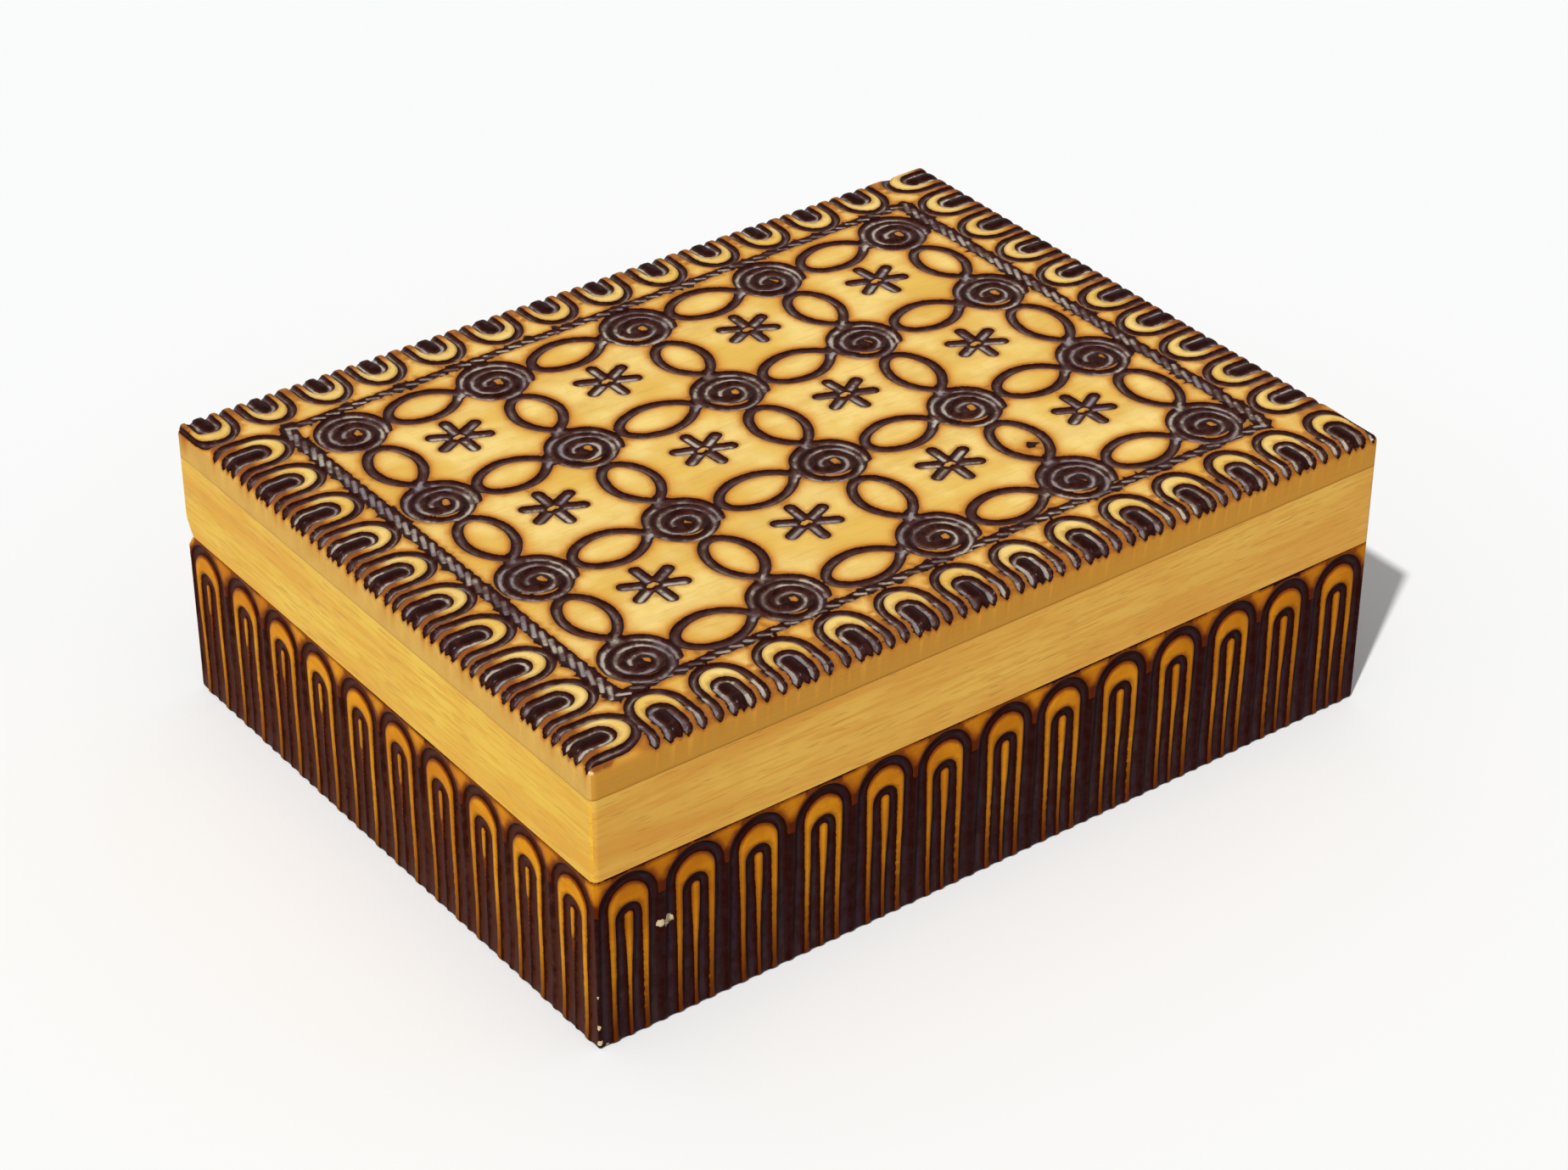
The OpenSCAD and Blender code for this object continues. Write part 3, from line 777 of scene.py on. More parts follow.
board = {
    "edgeRound": 2.7 * mm,    # rounding of the upper edges
    "cornerRound": 1.2 * mm,  # rounding of the corners seen from above
    "lip": 0.06 * mm,         # small chamfer round the underside
    "stainFrom": 0.75,        # turn of the rounding, in radians, where the dark stain starts
    "stainOver": 0.5,         # and over how many more it gets full
    "sideStain": 0.5,         # the side bands' share of it
    "thinning": (0.55, 1.3),  # share and power with which the arches' legs thin out over the rounding
    "seed": 11,
}
boardKinds = strokeKinds({
    "wideBand": ("burn", 1.5, 0, 0.7, 0.5),
    "slimBand": ("burn", 0.95, 0, 0.7, 0.5),
    "spiralDisc": ("burn", 4.6, 0, 0.7, 0.3),
    "spiral": ("groove", 0.98, 0.68, 0.8, 0.55, 1.0, 0.9),
    "ringAlong": ("groove", 0.98, 0.66, 1.1, 0.6, 0.2, 0.8),
    "ringAcross": ("groove", 0.98, 0.66, 1.1, 0.6, 0.28, 0.8),
    # Painted highlights: pale dashes by the rings' crossings
    "glint": ("oval", 0.5, 0.6, 0.5, 0, 1.5, 1.3),
    "petal": ("groove", 1.18, 0.6, 0.6, 0.35, 1.5, 0.5),
    "drop": ("bare", 0.62, 0, 0, 0),
    # The rope's marks carry painted sheen nearly all over
    "wideMark": ("oval", 0.58, 0.4, 0.5, 0, 1.0, 1.3),
    "slimMark": ("oval", 0.5, 0.32, 0.5, 0, 1.0, 1.3),
    "outerArch": ("groove", 0.84, 0.66, 0.9, 0.55, 0.45, 0.8),
    "innerArch": ("groove", 0.9, 0.66, 0.4, 0.25, 1.2, 0.9),
    "heart": ("burn", 0.72, 0, 0.5, 0.4),
    "archLight": ("light", 1.5, 0, 0, 1.0),
    "legLight": ("light", 1.5, 0, 0, 0.45),
    "legShade": ("shade", 3.2, 0, 0, 0.6),
    "sideShade": ("shade", 2.3, 0, 0, 0.85),
    # Painted highlight streaks along the front legs where they roll over the edge
    "legHighlight": ("oval", 0.5, 0.66, 0.5, 0, 1.8, 1.3),
    "smudge": ("burn", 0.9, 0, 1.2, 0.5),
})
# How far the hand-drawn columns and rows stray from an even lattice: left to right, and front to back.
# The rows also rise to the right, the back ones more
lattice = {
    "columns": (0.2, -0.8, 0.6, 0.5, 0.1), "rows": (-0.7, -0.3, 0.0, -0.8),
    "starColumns": (-0.8, 0.5, 1.3, 1.2), "starRows": (1.1, 1.5, 1.4),
    "rise": 0.0112, "backRise": 0.6,
}
smudges = [(15.8, 28.6, 18.6, 28.9), (30.5, -31.6, 31.2, -31.0), (27.0, -41.2, 28.0, -40.8),
           (58.5, -18.0, 59.2, -17.4)]
spirals = {
    "columns": 5, "rows": 4, "columnStep": 30.0, "rowStep": 28.85,
    # radius at every quarter turn, from the inner end on the left, clockwise and outwards
    "radii": (1.9, 1.5, 2.6, 3.2, 4.1, 4.1, 4.7, 5.9, 6.1, 6.05, 6.0, 6.3),
    "quarters": 10.4,
    "soften": 7,  # points over which the radius is smoothed
    "disc": (-0.3, 0, 0.3, 0), "drop": (0.35, -1.3, 0.45, -0.6), "stray": (0.12, 5, 0.015),
}
rings = {
    # half of the ring's centre line, from its crossed end to its round end
    "line": ((8.5, -1.0), (7.5, 0.1), (5.5, 2.3), (2.5, 4.0), (-1.0, 4.45), (-4.5, 3.45), (-6.6, 1.7),
             (-7.1, 0.0)),
    "acrossLong": 0.96, "acrossWide": 0.95,
    # painted highlights: pale dashes by the crossing
    "alongGlint": (6.9, -1.1, 8.1, -0.2), "acrossGlint": (-0.4, -7.8, 0.9, -6.4), "stray": (0.12, 3, 0.03),
}
stars = {
    "angles": (90, 27, -27, -90, -153, 153), "inner": 1.5, "outer": 4.9,
    "drop": (-0.5, 0.2, 0.5, 0.2), "stray": (0.12, 5, 0.03),
}
# Pairs of values are for the long and for the short sides
rope = {
    "reach": (68.6, 50.3), "slant": (-27, -24), "length": (1.9, 3.5),
    "shift": -0.3, "pitch": 2.75, "stray": (0.1, 5, 0.06),
}
border = {
    "outerReach": 4.35, "outerCentre": 5.85,  # arch's reach, and distance of its centre from the edge
    "innerReach": 1.62, "innerCentre": 5.2,
    "crown": 1.2,                             # how much taller the outer crown is than a half circle
    "further": (0, 0.4), "innerFurther": (0, 0.8),  # how much further in the rows reach
    "lightFoot": 7.4, "legLightFoot": 4.4,    # where the golden crescents and their paler legs end
    "legEnd": 4.1,                            # how far the legs run over the rounding
    "taperFrom": 2.6,                         # from the flat top's end to where the legs start to thin
    "spread": 0.1,                            # how much the legs widen before that, on each side
    "shadesAt": ((2.8, 0.2), (3.3, 1.5)),     # where the ground between the legs is scorched most
    "lightFurther": 0.3,                      # how much further in the golden crescents' crowns are
    "streakEnds": (-0.9, 4.6, 5.5),           # the front legs' painted highlight streaks: low end, outer and inner top
    "streakLeft": 0.2,                        # and how far they lie to the left of the legs' middle
    "counts": (13, 10), "pitches": (11.8, 11.5), "stray": (0.12, 1.5, 0.012),
    # how far the rows stray from even ones, for the front, right, back and left row
    "drift": ((-0.6, 0.8, 1.0, 1.4, 0.6), (0.7, 0.7), (2.0, 2.0, 2.9, 4.0, 2.2), (0.0, 0.0)),
}


def spiralLine():
    turns = np.arange(0, spirals["quarters"], 0.07)
    radii = np.interp(turns, range(len(spirals["radii"])), spirals["radii"])
    count = spirals["soften"]
    radii[count // 2:-(count // 2)] = np.convolve(radii, np.ones(count) / count, "valid")
    angles = math.pi - turns * quarter
    return list(zip(radii * np.cos(angles), radii * np.sin(angles)))


def ringLine(long, wide):
    half = [(x * long, y * wide) for x, y in rings["line"]]
    return smoothLine(half + [(x, -y) for x, y in reversed(half[:-1])])


def starLines():
    lines = []
    for angle in stars["angles"]:
        c, s = direction(angle)
        ends = (stars[end] * share for end in ("inner", "outer") for share in (c, s))
        lines.append(("petal", straightLine(*ends)))
    return lines


def strayed(spots, offsets, step):
    # How far hand-drawn motifs stray, given in mm for evenly spaced places
    even = (np.arange(len(offsets)) - (len(offsets) - 1) / 2) * step * mm
    return np.interp(spots, even, np.array(offsets) * mm)


def risen(x, y):
    return y + lattice["rise"] * x * (1 + lattice["backRise"] * y / halfDeep)


def latticeStrokes():
    columns, rows = spirals["columns"], spirals["rows"]
    steps = (spirals["columnStep"], spirals["rowStep"])
    across = [(y, x) for x, y in ringLine(-rings["acrossLong"], rings["acrossWide"])]
    dropStep = 0.4
    motifs = (
        ("spiral", columns, rows, spirals["stray"], (
            ("spiral", spiralLine()), ("spiralDisc", straightLine(*spirals["disc"])),
            ("drop", straightLine(*spirals["drop"], dropStep)))),
        ("ringAlong", columns - 1, rows, rings["stray"], (
            ("ringAlong", ringLine(1, 1)), ("glint", straightLine(*rings["alongGlint"])))),
        ("ringAcross", columns, rows - 1, rings["stray"], (
            ("ringAcross", across), ("glint", straightLine(*rings["acrossGlint"])))),
        ("star", columns - 1, rows - 1, stars["stray"], (
            *starLines(), ("drop", straightLine(*stars["drop"])))),
    )
    parts = []
    for index, (name, wide, tall, stray, lines) in enumerate(motifs):
        part = stamp(name, boardKinds, lines, wide, tall, *steps, stray, board["seed"] + 10 * index)
        columnsOf, rowsOf = ("starColumns", "starRows") if name == "star" else ("columns", "rows")
        x, y = part["points"].T
        part["points"] = np.column_stack([x + strayed(x, lattice[columnsOf], steps[0]),
                                          risen(x, y + strayed(y, lattice[rowsOf], steps[1]))])
        parts.append(part)
    parts += [stamp("smudge", boardKinds, [("smudge", straightLine(*ends))]) for ends in smudges]
    return parts


def borderRow(side):
    odd = side % 2
    count, pitch, further = (border[label][odd] for label in ("counts", "pitches", "further"))
    foot = board["edgeRound"] / mm - border["legEnd"]
    outer = border["outerCentre"] + further
    inner = border["innerCentre"] + border["innerFurther"][odd]
    middle = ((border["outerReach"] + border["innerReach"]) / 2, (outer + inner) / 2 + border["lightFurther"])
    outerReach = border["outerReach"] + further / 2
    arches = [
        ("outerArch", archLine(outerReach, outer, foot, tall=border["crown"])),
        ("innerArch", archLine(border["innerReach"], inner, foot)),
        ("archLight", archLine(*middle, border["lightFoot"], tall=border["crown"])[1:-1]),
        ("legLight", archLine(*middle, border["legLightFoot"], tall=border["crown"])),
        ("heart", straightLine(0, foot, 0, inner)),
    ]
    shade = "sideShade" if odd else "legShade"
    arches += [(shade, straightLine(-pitch / 2, y, pitch / 2, y)) for y in border["shadesAt"][odd]]
    # Painted highlight streaks on the front row's legs
    if side == 0:
        low, outerTop, innerTop = border["streakEnds"]
        left = border["streakLeft"]
        arches += [("legHighlight", straightLine(x - left, low, x - left, top))
                   for reach, top in ((border["outerReach"], outerTop), (border["innerReach"], innerTop))
                   for x in (-reach, reach)]
    row = stamp("border", boardKinds, arches, count, 1, pitch, 1, border["stray"], board["seed"] + 40 + side)
    drift = border["drift"][side]
    row["points"][:, 0] += strayed(row["points"][:, 0], drift, (count - 1) * pitch / (len(drift) - 1))
    along, out = (value / mm for value in sideHalves(side))
    return moved(row, side * quarter, *sidePlace(side, along - count * pitch / 2, out))


def ropeLine(side):
    # The slanted marks and the dark band under them
    odd = side % 2
    width = ("slim", "wide")[odd]
    half, out = rope["reach"][odd], rope["reach"][1 - odd]
    marks = round(2 * half / rope["pitch"])
    c, s = (rope["length"][odd] / 2 * share for share in direction(rope["slant"][odd]))
    mark = [(width + "Mark", straightLine(-c, -s, c, s))]
    band = [(width + "Band", straightLine(-half, 0, half, 0))]
    seed = board["seed"] + 50 + side
    parts = []
    for line in (stamp("rope", boardKinds, mark, marks, 1, 2 * half / marks, 1, rope["stray"], seed),
                 stamp("band", boardKinds, band)):
        line = moved(line, side * quarter, *sidePlace(side, 0, out))
        x, y = line["points"].T
        parts.append({**line, "points": np.column_stack([x + rope["shift"] * mm, risen(x, y)])})
    return parts


def boardStrokes():
    parts = latticeStrokes()
    for side in range(4):
        parts += [borderRow(side)] + ropeLine(side)
    return joined(parts)


def sidePlace(side, along, out):
    # Where a row's middle goes: along runs to the right seen from outside, out is its distance from the
    # middle
    spot = Matrix.Rotation(side * quarter, 2) @ Vector((along * mm, -out * mm))
    return spot.x, spot.y


def rollOver(flat, half, radius):
    # Position, drop and tilt of a point that lies flat on top, past where the edge's rounding starts
    angle = np.clip(np.abs(flat) - (half - radius), 0, None) / radius
    reached = np.minimum(np.abs(flat), half - radius) + radius * np.sin(angle)
    return np.sign(flat) * reached, radius * (1 - np.cos(angle)), angle


def wrapBoard(flat, deep):
    radius, corner = board["edgeRound"], board["cornerRound"]
    x, dropX, tiltX = rollOver(flat[:, 0], halfLong, radius)
    y, dropY, tiltY = rollOver(flat[:, 1], halfDeep, radius)
    # Corners seen from above are rounded
    a = np.clip((np.abs(x) - halfLong + corner) / corner, 0, 1)
    b = np.clip((np.abs(y) - halfDeep + corner) / corner, 0, 1)
    both = (a > 0) & (b > 0)
    roundA, roundB = a * np.sqrt(1 - b * b / 2), b * np.sqrt(1 - a * a / 2)
    x = np.where(both, np.sign(x) * (halfLong - corner + corner * roundA), x)
    y = np.where(both, np.sign(y) * (halfDeep - corner + corner * roundB), y)
    weightX = dropX ** 2 / (dropX ** 2 + dropY ** 2 + 1e-12)
    weightY = dropY ** 2 / (dropX ** 2 + dropY ** 2 + 1e-12)
    tilt = np.maximum(tiltX, tiltY)
    normal = np.column_stack([np.sign(x) * np.sin(tiltX) * weightX, np.sign(y) * np.sin(tiltY) * weightY,
                              np.cos(tilt)])
    normal /= np.linalg.norm(normal, axis=1, keepdims=True)
    z = boardHigh.z - np.maximum(dropX, dropY)
    return np.column_stack([x, y, z]) - normal * deep[:, None], tilt


def rimLoop(flat, low, high):
    # The sheet's edge points, anticlockwise from the lower left corner
    u, v = flat.T
    tol = 1e-6

    def along(mask, key):
        picked = np.nonzero(mask)[0]
        return picked[np.argsort(key[picked])].tolist()

    bottom = along(np.abs(v - low[1]) < tol, u)
    right = along(np.abs(u - high[0]) < tol, v)
    top = along(np.abs(v - high[1]) < tol, -u)
    left = along(np.abs(u - low[0]) < tol, -v)
    return bottom, right, top, left


def makeBoard():
    radius = board["edgeRound"]
    high = (halfLong - radius + radius * quarter, halfDeep - radius + radius * quarter)
    low = (-high[0], -high[1])
    # More points over the rounding, in rows along it
    extra = []
    for step in np.linspace(0.05, 0.95, 9) * radius * quarter:
        x, y = halfLong - radius + step, halfDeep - radius + step
        extra += [(i, s * y) for i in np.arange(-x, x, 0.9 * mm) for s in (-1, 1)]
        extra += [(s * x, i) for i in np.arange(-y, y, 0.9 * mm) for s in (-1, 1)]
    strokes = boardStrokes()
    thinFrom = border["taperFrom"] * mm - radius

    def taper(flat):
        # The arches' legs widen a little and then thin out to points over the rounding
        past = np.max(np.abs(flat) - (halfLong + thinFrom, halfDeep + thinFrom), axis=1) / mm
        wider = border["spread"] * np.clip(1 + past / border["taperFrom"], 0, 1)
        share, power = board["thinning"]
        return share * np.clip(past, 0, None) ** power - wider

    tree = pressTree(boardKinds)
    sheet = pressSheet("boardSheet", strokes, boardKinds, tree, low, high, extra, 0.09, taper)
    spots, tilt = wrapBoard(sheet["flat"], sheet["deep"])
    # The front and back bands are stained, the side bands less
    pastLong, pastDeep = (np.abs(sheet["flat"]) - (halfLong - radius, halfDeep - radius)).T
    stain = np.clip((tilt - board["stainFrom"]) / board["stainOver"], 0, 1)
    stain = stain * np.where(pastDeep > pastLong, 1.0, board["sideStain"])
    loop = sum((part[:-1] for part in rimLoop(sheet["flat"], low, high)), [])
    count, start = len(loop), len(spots)
    rim = spots[loop]
    lip = board["lip"]
    inward = rim * (1 - lip / np.array((halfLong, halfDeep, 1)))
    rows = [np.column_stack([row[:, :2], np.full(count, boardLow.z + up)])
            for row, up in ((rim, 8 * lip), (rim, lip), (inward, 0))]
    sheet |= {"stain": stain, "stainRest": np.tile(stain[loop], len(rows))}
    more = []
    ringsOf = [loop] + [list(range(start + k * count, start + (k + 1) * count)) for k in range(len(rows))]
    for upper, lower in zip(ringsOf, ringsOf[1:]):
        more += [((lower[i], lower[j], upper[j], upper[i]), 0, lower is not ringsOf[-1])
                 for i, j in enumerate([*range(1, count), 0])]
    more.append((ringsOf[-1][::-1], 1, False))
    return makePiece("carvedBoard", sheet, spots, np.concatenate(rows), more, [boardWood, rawWoodLong])


carvedBoard = makeBoard()
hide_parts("lid_top_panel")
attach(carvedBoard, "lid")
print("board carved")


# Walls of the base and the lid. Side 0 faces the front, 1 the right, 2 the back and 3 the left

walls = {
    "cornerRound": 1.2 * mm,
    "footRound": 0.8 * mm,
    "seamRound": 0.25 * mm,
    "grooveHeight": 3.8 * mm,  # the bevel along the back seam, down from the seam
    "leafDepth": 0.7 * mm,     # thickness of a hinge leaf, let into the wall's top
    "leafGap": 0.1 * mm,       # clearance round the leaf
    "seatGap": 0.3 * mm,       # clearance round the knuckles
    "panelGap": 0.1 * mm,      # clearance round the bottom panel
    "past": 1.2,               # share of the bevel's size that its cutter has, to run out past the wall
}
baseKinds = strokeKinds({
    "outerArch": ("groove", 0.94, 0.75, 0.9, 0.7, 0.35, 0.8),
    "innerArch": ("groove", 0.84, 0.72, 0.4, 0.3, 0.35, 0.8),
    "archLight": ("light", 1.7, 0, 0, 1.0),
    "stemLight": ("light", 0.9, 0, 0, 0.9),
    "ridge": ("burn", 0.8, 0, 0.8, 0.6),
    "ridgeShade": ("shade", 2.2, 0, 0, 1.0),
    "seamLine": ("burn", 0.2, 0, 0.3, 0.4),
    "innerShort": ("groove", 1.06, 0.72, 0.4, 0.3, 0.35, 0.8),
    "stemShade": ("shade", 1.5, 0, 0, 0.75),
    "stemDim": ("light", 0.9, 0, 0, 0.2),
})
baseArches = {
    # on the long and on the short sides
    "counts": (13, 10), "outerReach": (4.75, 4.9), "innerReach": (1.72, 1.6),
    "stemTop": 20.0,                      # below this height the short sides' stems are scorched
    # (height, mm): how much wider the grooves are on each side, and how far the inner legs lean inwards
    "widening": ((0.0, 0.28), (10.0, 0.27), (15.0, 0.2), (21.0, 0.05), (26.0, 0.0)),
    "outerDrop": 0.75, "innerDrop": 6.4,  # from the seam to the top of each burned stroke
    "ridgeDrop": 1.4,                     # from the outer arch's centre down to where the ridges are black
    "shadeRise": 0.3,                     # and up to where they are shaded
    "shallow": ((0.0, 0.3), (5.0, 1.0)),  # (height, share of the full depth) near the foot
    "foot": -1.5,                         # where the strokes end, past the wall's foot
    "step": 0.9,                          # between the points of an arch
    "stray": (0.08, 0.5, 0.004),
    "seed": 71,
}
wallNames = ("front", "right", "back", "left")


def wallSpan(side):
    corner = walls["cornerRound"]
    return 2 * (sideHalves(side)[0] - corner + corner * math.pi / 4)


def archRow(side):
    odd = side % 2
    count, outerReach, innerReach = (baseArches[label][odd]
                                     for label in ("counts", "outerReach", "innerReach"))
    foot, step = baseArches["foot"], baseArches["step"]
    seam = seamHeight / mm
    if side == 2:
        seam -= walls["grooveHeight"] / mm
    half = baseKinds["outerArch"][1] / mm
    outer = seam - baseArches["outerDrop"] - half - outerReach
    inner = seam - baseArches["innerDrop"] - half - innerReach
    pitch = wallSpan(side) / mm / count
    lightFoot = baseArches["stemTop"] if odd else foot
    heights, wider = zip(*baseArches["widening"])
    innerLine = [(x - math.copysign(np.interp(y, heights, wider), x), y)
                 for x, y in archLine(innerReach, inner, foot, step)]
    arches = [
        ("outerArch", archLine(outerReach, outer, foot, step)),
        ("innerShort" if odd else "innerArch", innerLine),
        ("archLight", archLine((outerReach + innerReach) / 2, (outer + inner) / 2, foot)),
        ("stemLight", straightLine(0, lightFoot, 0, inner)),
    ]
    arches += [(name, straightLine(x, foot, x, top))
               for name, top in (("ridge", outer - baseArches["ridgeDrop"]),
                                 ("ridgeShade", outer + baseArches["shadeRise"]))
               for x in (-pitch / 2, pitch / 2)]
    arches.append(("seamLine", straightLine(-pitch / 2, seam, pitch / 2, seam)))
    if odd:
        arches += [(name, straightLine(0, foot, 0, lightFoot)) for name in ("stemShade", "stemDim")]
    seed = baseArches["seed"] + side
    return stamp("arches", baseKinds, arches, count, 1, pitch, 1, baseArches["stray"], seed)


def wrapWall(flat, deep, side):
    half, out = sideHalves(side)
    corner, foot, seam = (walls[label] for label in ("cornerRound", "footRound", "seamRound"))
    u, v = flat.T
    turn = np.clip(np.abs(u) - (half - corner), 0, None) / corner
    under = np.clip(foot - v, 0, None) / foot
    over = np.clip(v - (seamHeight - seam), 0, None) / seam
    inset = foot * (1 - np.cos(under)) + seam * (1 - np.cos(over))
    z = np.clip(v, foot, seamHeight - seam) - foot * np.sin(under) + seam * np.sin(over)
    radius = corner - inset - deep
    along = np.sign(u) * (np.minimum(np.abs(u), half - corner) + radius * np.sin(turn))
    outward = out - corner + radius * np.cos(turn)
    return turnWall(np.column_stack([along, -outward, z]), side)


def turnWall(spots, side):
    c, s = round(math.cos(side * quarter)), round(math.sin(side * quarter))
    return spots @ np.array(((c, s, 0), (-s, c, 0), (0, 0, 1)))


def closeWall(name, sheet, low, high, side, inside, materials):
    # inside is the wall's inner profile from the top down: (depth from the face, height)
    spots = wrapWall(sheet["flat"], sheet["deep"], side)
    half, out = sideHalves(side)
    bottom, right, top, left = rimLoop(sheet["flat"], low, high)
    more = [(s * (half - d), -(out - d), z) for s in (-1, 1) for d, z in inside]
    start, count = len(spots), len(inside)
    lefts, rights = [list(range(start + i * count, start + (i + 1) * count)) for i in (0, 1)]
    faces = [top[::-1] + [rights[0], lefts[0]], [lefts[-1], rights[-1]] + bottom[::-1],
             rights[::-1] + right[::-1], left[::-1] + lefts]
    faces += [(lefts[i], rights[i], rights[i + 1], lefts[i + 1]) for i in range(count - 1)]
    faces = [(face, 1, False) for face in faces]
    return makePiece(name, sheet, spots, turnWall(np.array(more), side), faces, materials)


def cutter(outline, low, high, index, materials):
    # A prism along X from low to high, through the (y, z) outline, which runs anticlockwise
    count = len(outline)
    spots = np.array([(x, y, z) for x in (low, high) for y, z in outline])
    faces = [tuple(range(count))[::-1], tuple(range(count, 2 * count))]
    faces += [(i, (i + 1) % count, count + (i + 1) % count, count + i) for i in range(count)]
    empty = {"faces": np.zeros((0, 3), dtype=np.int32)}
    return makePiece("cutter", empty, spots[:0], spots, [(f, index, False) for f in faces], materials)


def grooveCutter(materials):
    # The bevel along the back seam
    y, z = hingeLine.y, seamHeight
    past = walls["past"]
    out, down = y + (halfDeep - y) * past, z - walls["grooveHeight"] * past
    outline = [(y, z), (out, down), (out, z + mm), (y, z + mm)]
    return cutter(outline, -halfLong - mm, halfLong + mm, 2, materials)


def mortiseCutter(leaf, materials):
    # The hinge leaf's seat in the wall's top, and the round seat of its knuckles
    low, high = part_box(leaf)
    gap = walls["leafGap"]
    floor = seamHeight - walls["leafDepth"] - gap
    radius = seamHeight - low.z + walls["seatGap"]
    first = math.asin((seamHeight - floor) / radius)
    angles = np.linspace(math.pi + first, 2 * math.pi - first, 13)
    seat = [(hingeLine.y + radius * math.cos(a), seamHeight + radius * math.sin(a)) for a in angles]
    inner, outer = halfDeep - wallThickness - mm, halfDeep + mm
    top = seamHeight + mm
    outline = [(inner, top), (inner, floor)] + seat + [(outer, floor), (outer, top)]
    return cutter(outline, low.x - gap, high.x + gap, 1, materials)


def cut(body, cutters):
    for tool in cutters:
        modifier = body.modifiers.new("cut", "BOOLEAN")
        modifier.object = tool
        modifier.operation = "DIFFERENCE"
        modifier.solver = "MANIFOLD"
    mesh = evaluated(body)
    body.modifiers.clear()
    body.data = mesh
    # The points where the cut meets the wall carry no values of their own
    values = readValues(mesh.attributes["edge"].data, "value")
    values[values == 0] = plainValues["edge"]
    mesh.attributes["edge"].data.foreach_set("value", values)
    for tool in cutters:
        bpy.data.objects.remove(tool)
    print(body.name, "cut,", len(mesh.polygons), "faces")


def baseWall(side):
    span = wallSpan(side)
    foot, seam = walls["footRound"], walls["seamRound"]
    low = (-span / 2, foot - foot * quarter)
    high = (span / 2, seamHeight - seam + seam * quarter)
    parts = [archRow(side)]
    for i in (-1, 1):
        other = (side + i) % 4
        parts.append(moved(archRow(other), 0, i * (span + wallSpan(other)) / 2, 0))
    strokes = joined(parts)
    beyond = 4 * mm  # strokes further off don't reach the sheet
    near = np.abs(strokes["points"][:, 0]) < span / 2 + beyond
    strokes["edges"] = strokes["edges"][near[strokes["edges"]].all(axis=1)]
    # More points round the foot, the corners and the seam, where the sheet bends
    corner = walls["cornerRound"] * math.pi / 4
    extra = [(u, v) for v in np.arange(low[1], foot + 0.1 * mm, 0.2 * mm)
             for u in np.arange(-span / 2, span / 2, 0.33 * mm)]
    extra += [(s * (span / 2 - corner * k / 4), v) for s in (-1, 1) for k in (1, 2, 3, 4)
              for v in np.arange(low[1], high[1], 0.8 * mm)]
    extra += [(u, high[1] - seam * k) for k in (0.5, 1.0, 1.6) for u in np.arange(-span / 2, span / 2, mm)]
    heights, wider = zip(*baseArches["widening"])

    def taper(flat):
        # The grooves get wider towards the foot
        return -np.interp(flat[:, 1] / mm, heights, wider)

    sheet = pressSheet("baseSheet", strokes, baseKinds, basePress, low, high, extra, 0.06, taper)
    sheet["deep"] *= np.interp(sheet["flat"][:, 1] / mm, *zip(*baseArches["shallow"]))
    rebateHeight = bottomHigh.z
    rebate = halfLong - bottomHigh.x - walls["panelGap"]
    inside = [(wallThickness, seamHeight), (wallThickness, rebateHeight), (rebate, rebateHeight),
              (rebate, 0.0)]
    woods = [baseWoodShort, rawWoodShort, seamWood] if side % 2 else [baseWoodLong, rawWoodLong, seamWood]
    wall = closeWall("base" + wallNames[side].capitalize() + "Wall", sheet, low, high, side, inside, woods)
    cutters = [grooveCutter(woods)] if side else []
    if side == 2:
        cutters += [mortiseCutter("hinge_" + end + "_base_leaf", woods) for end in ("left", "right")]
    if cutters:
        cut(wall, cutters)
    return wall


basePress = pressTree(baseKinds)
for side in range(4):
    wall = baseWall(side)
    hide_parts("base_" + wallNames[side] + "_wall")
    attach(wall, "base")
print("base walls carved")


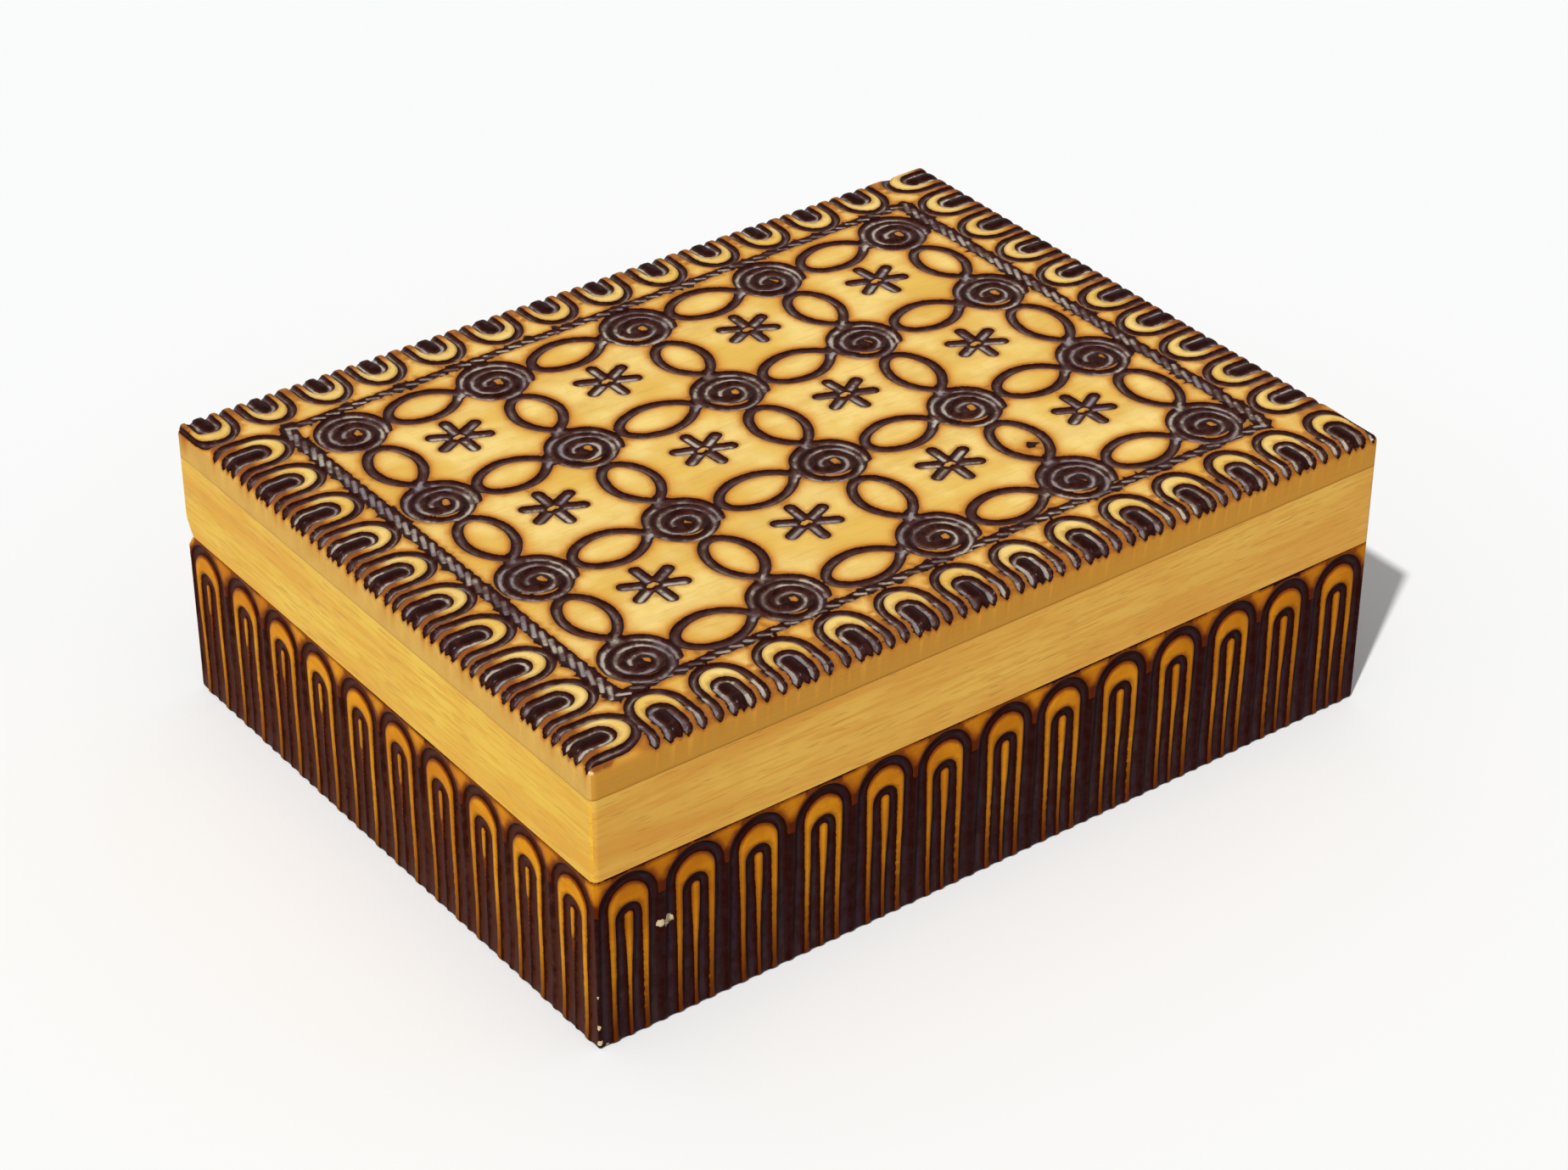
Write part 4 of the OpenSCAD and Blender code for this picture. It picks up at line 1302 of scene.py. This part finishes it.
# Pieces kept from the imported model

finishes = {"base_bottom_panel": rawWoodLong, "base_hinge_nails": brass, "lid_hinge_nails": brass}
for side, name in enumerate(wallNames):
    finishes["lid_" + name + "_wall"] = (lidWoodLong, lidWoodShort)[side % 2]
for end in ("left", "right"):
    for part, material in (("base_leaf", brass), ("lid_leaf", brass), ("pin", steel)):
        finishes["hinge_" + end + "_" + part] = material
for node, material in finishes.items():
    for slot in frame["nodes"][node].material_slots:
        slot.material = material
print("finishes set")


# Floor and light

studio = {
    "floorSize": 6.0,
    "floorLit": (0.4, 0.4, 0.4),      # the floor's tone where it lights the box
    "floorSeen": (0.95, 0.95, 0.94),  # and where it is seen
    "sunFrom": (-0.53, -0.33, 0.78),
    "sunStrength": 2.6,
    "sunAngle": 2.0,
    "skyStrength": 0.38,
    "skyTint": (0.95, 0.98, 1.0),
}


def seenDirectly(tree):
    # 1 for the camera and in reflections, where floor and sky look white, 0 where they light the box
    path = place(tree, "ShaderNodeLightPath").outputs
    return highest(tree, *(path["Is " + ray + " Ray"] for ray in ("Camera", "Glossy", "Transmission")))


def makeFloor():
    half = studio["floorSize"] / 2
    mesh = bpy.data.meshes.new("floor")
    corners = [(x * half, y * half, 0) for x, y in ((-1, -1), (1, -1), (1, 1), (-1, 1))]
    mesh.from_pydata(corners, [], [(0, 1, 2, 3)])
    material = bpy.data.materials.new("floor")
    tree = emptyTree(material)
    colour = mixColour(tree, seenDirectly(tree), studio["floorLit"], studio["floorSeen"])
    surface = place(tree, "ShaderNodeBsdfDiffuse", {"Color": colour}).outputs[0]
    place(tree, "ShaderNodeOutputMaterial", {"Surface": surface})
    mesh.materials.append(material)
    addObject("floor", mesh)


def makeLight():
    data = bpy.data.lights.new("sun", "SUN")
    data.energy = studio["sunStrength"]
    data.angle = math.radians(studio["sunAngle"])
    body = addObject("sun", data)
    body.rotation_euler = Vector(studio["sunFrom"]).to_track_quat("Z", "Y").to_euler()
    world = bpy.data.worlds.new("sky")
    bpy.context.scene.world = world
    tree = emptyTree(world)
    strength = spread(tree, seenDirectly(tree), 0.0, 1.0, studio["skyStrength"], 1.0, "LINEAR")
    sky = place(tree, "ShaderNodeBackground", {"Color": (*studio["skyTint"], 1), "Strength": strength})
    place(tree, "ShaderNodeOutputWorld", {"Surface": sky.outputs[0]})


makeFloor()
makeLight()
bpy.context.scene.view_settings.view_transform = "Standard"
print("floor and light made")
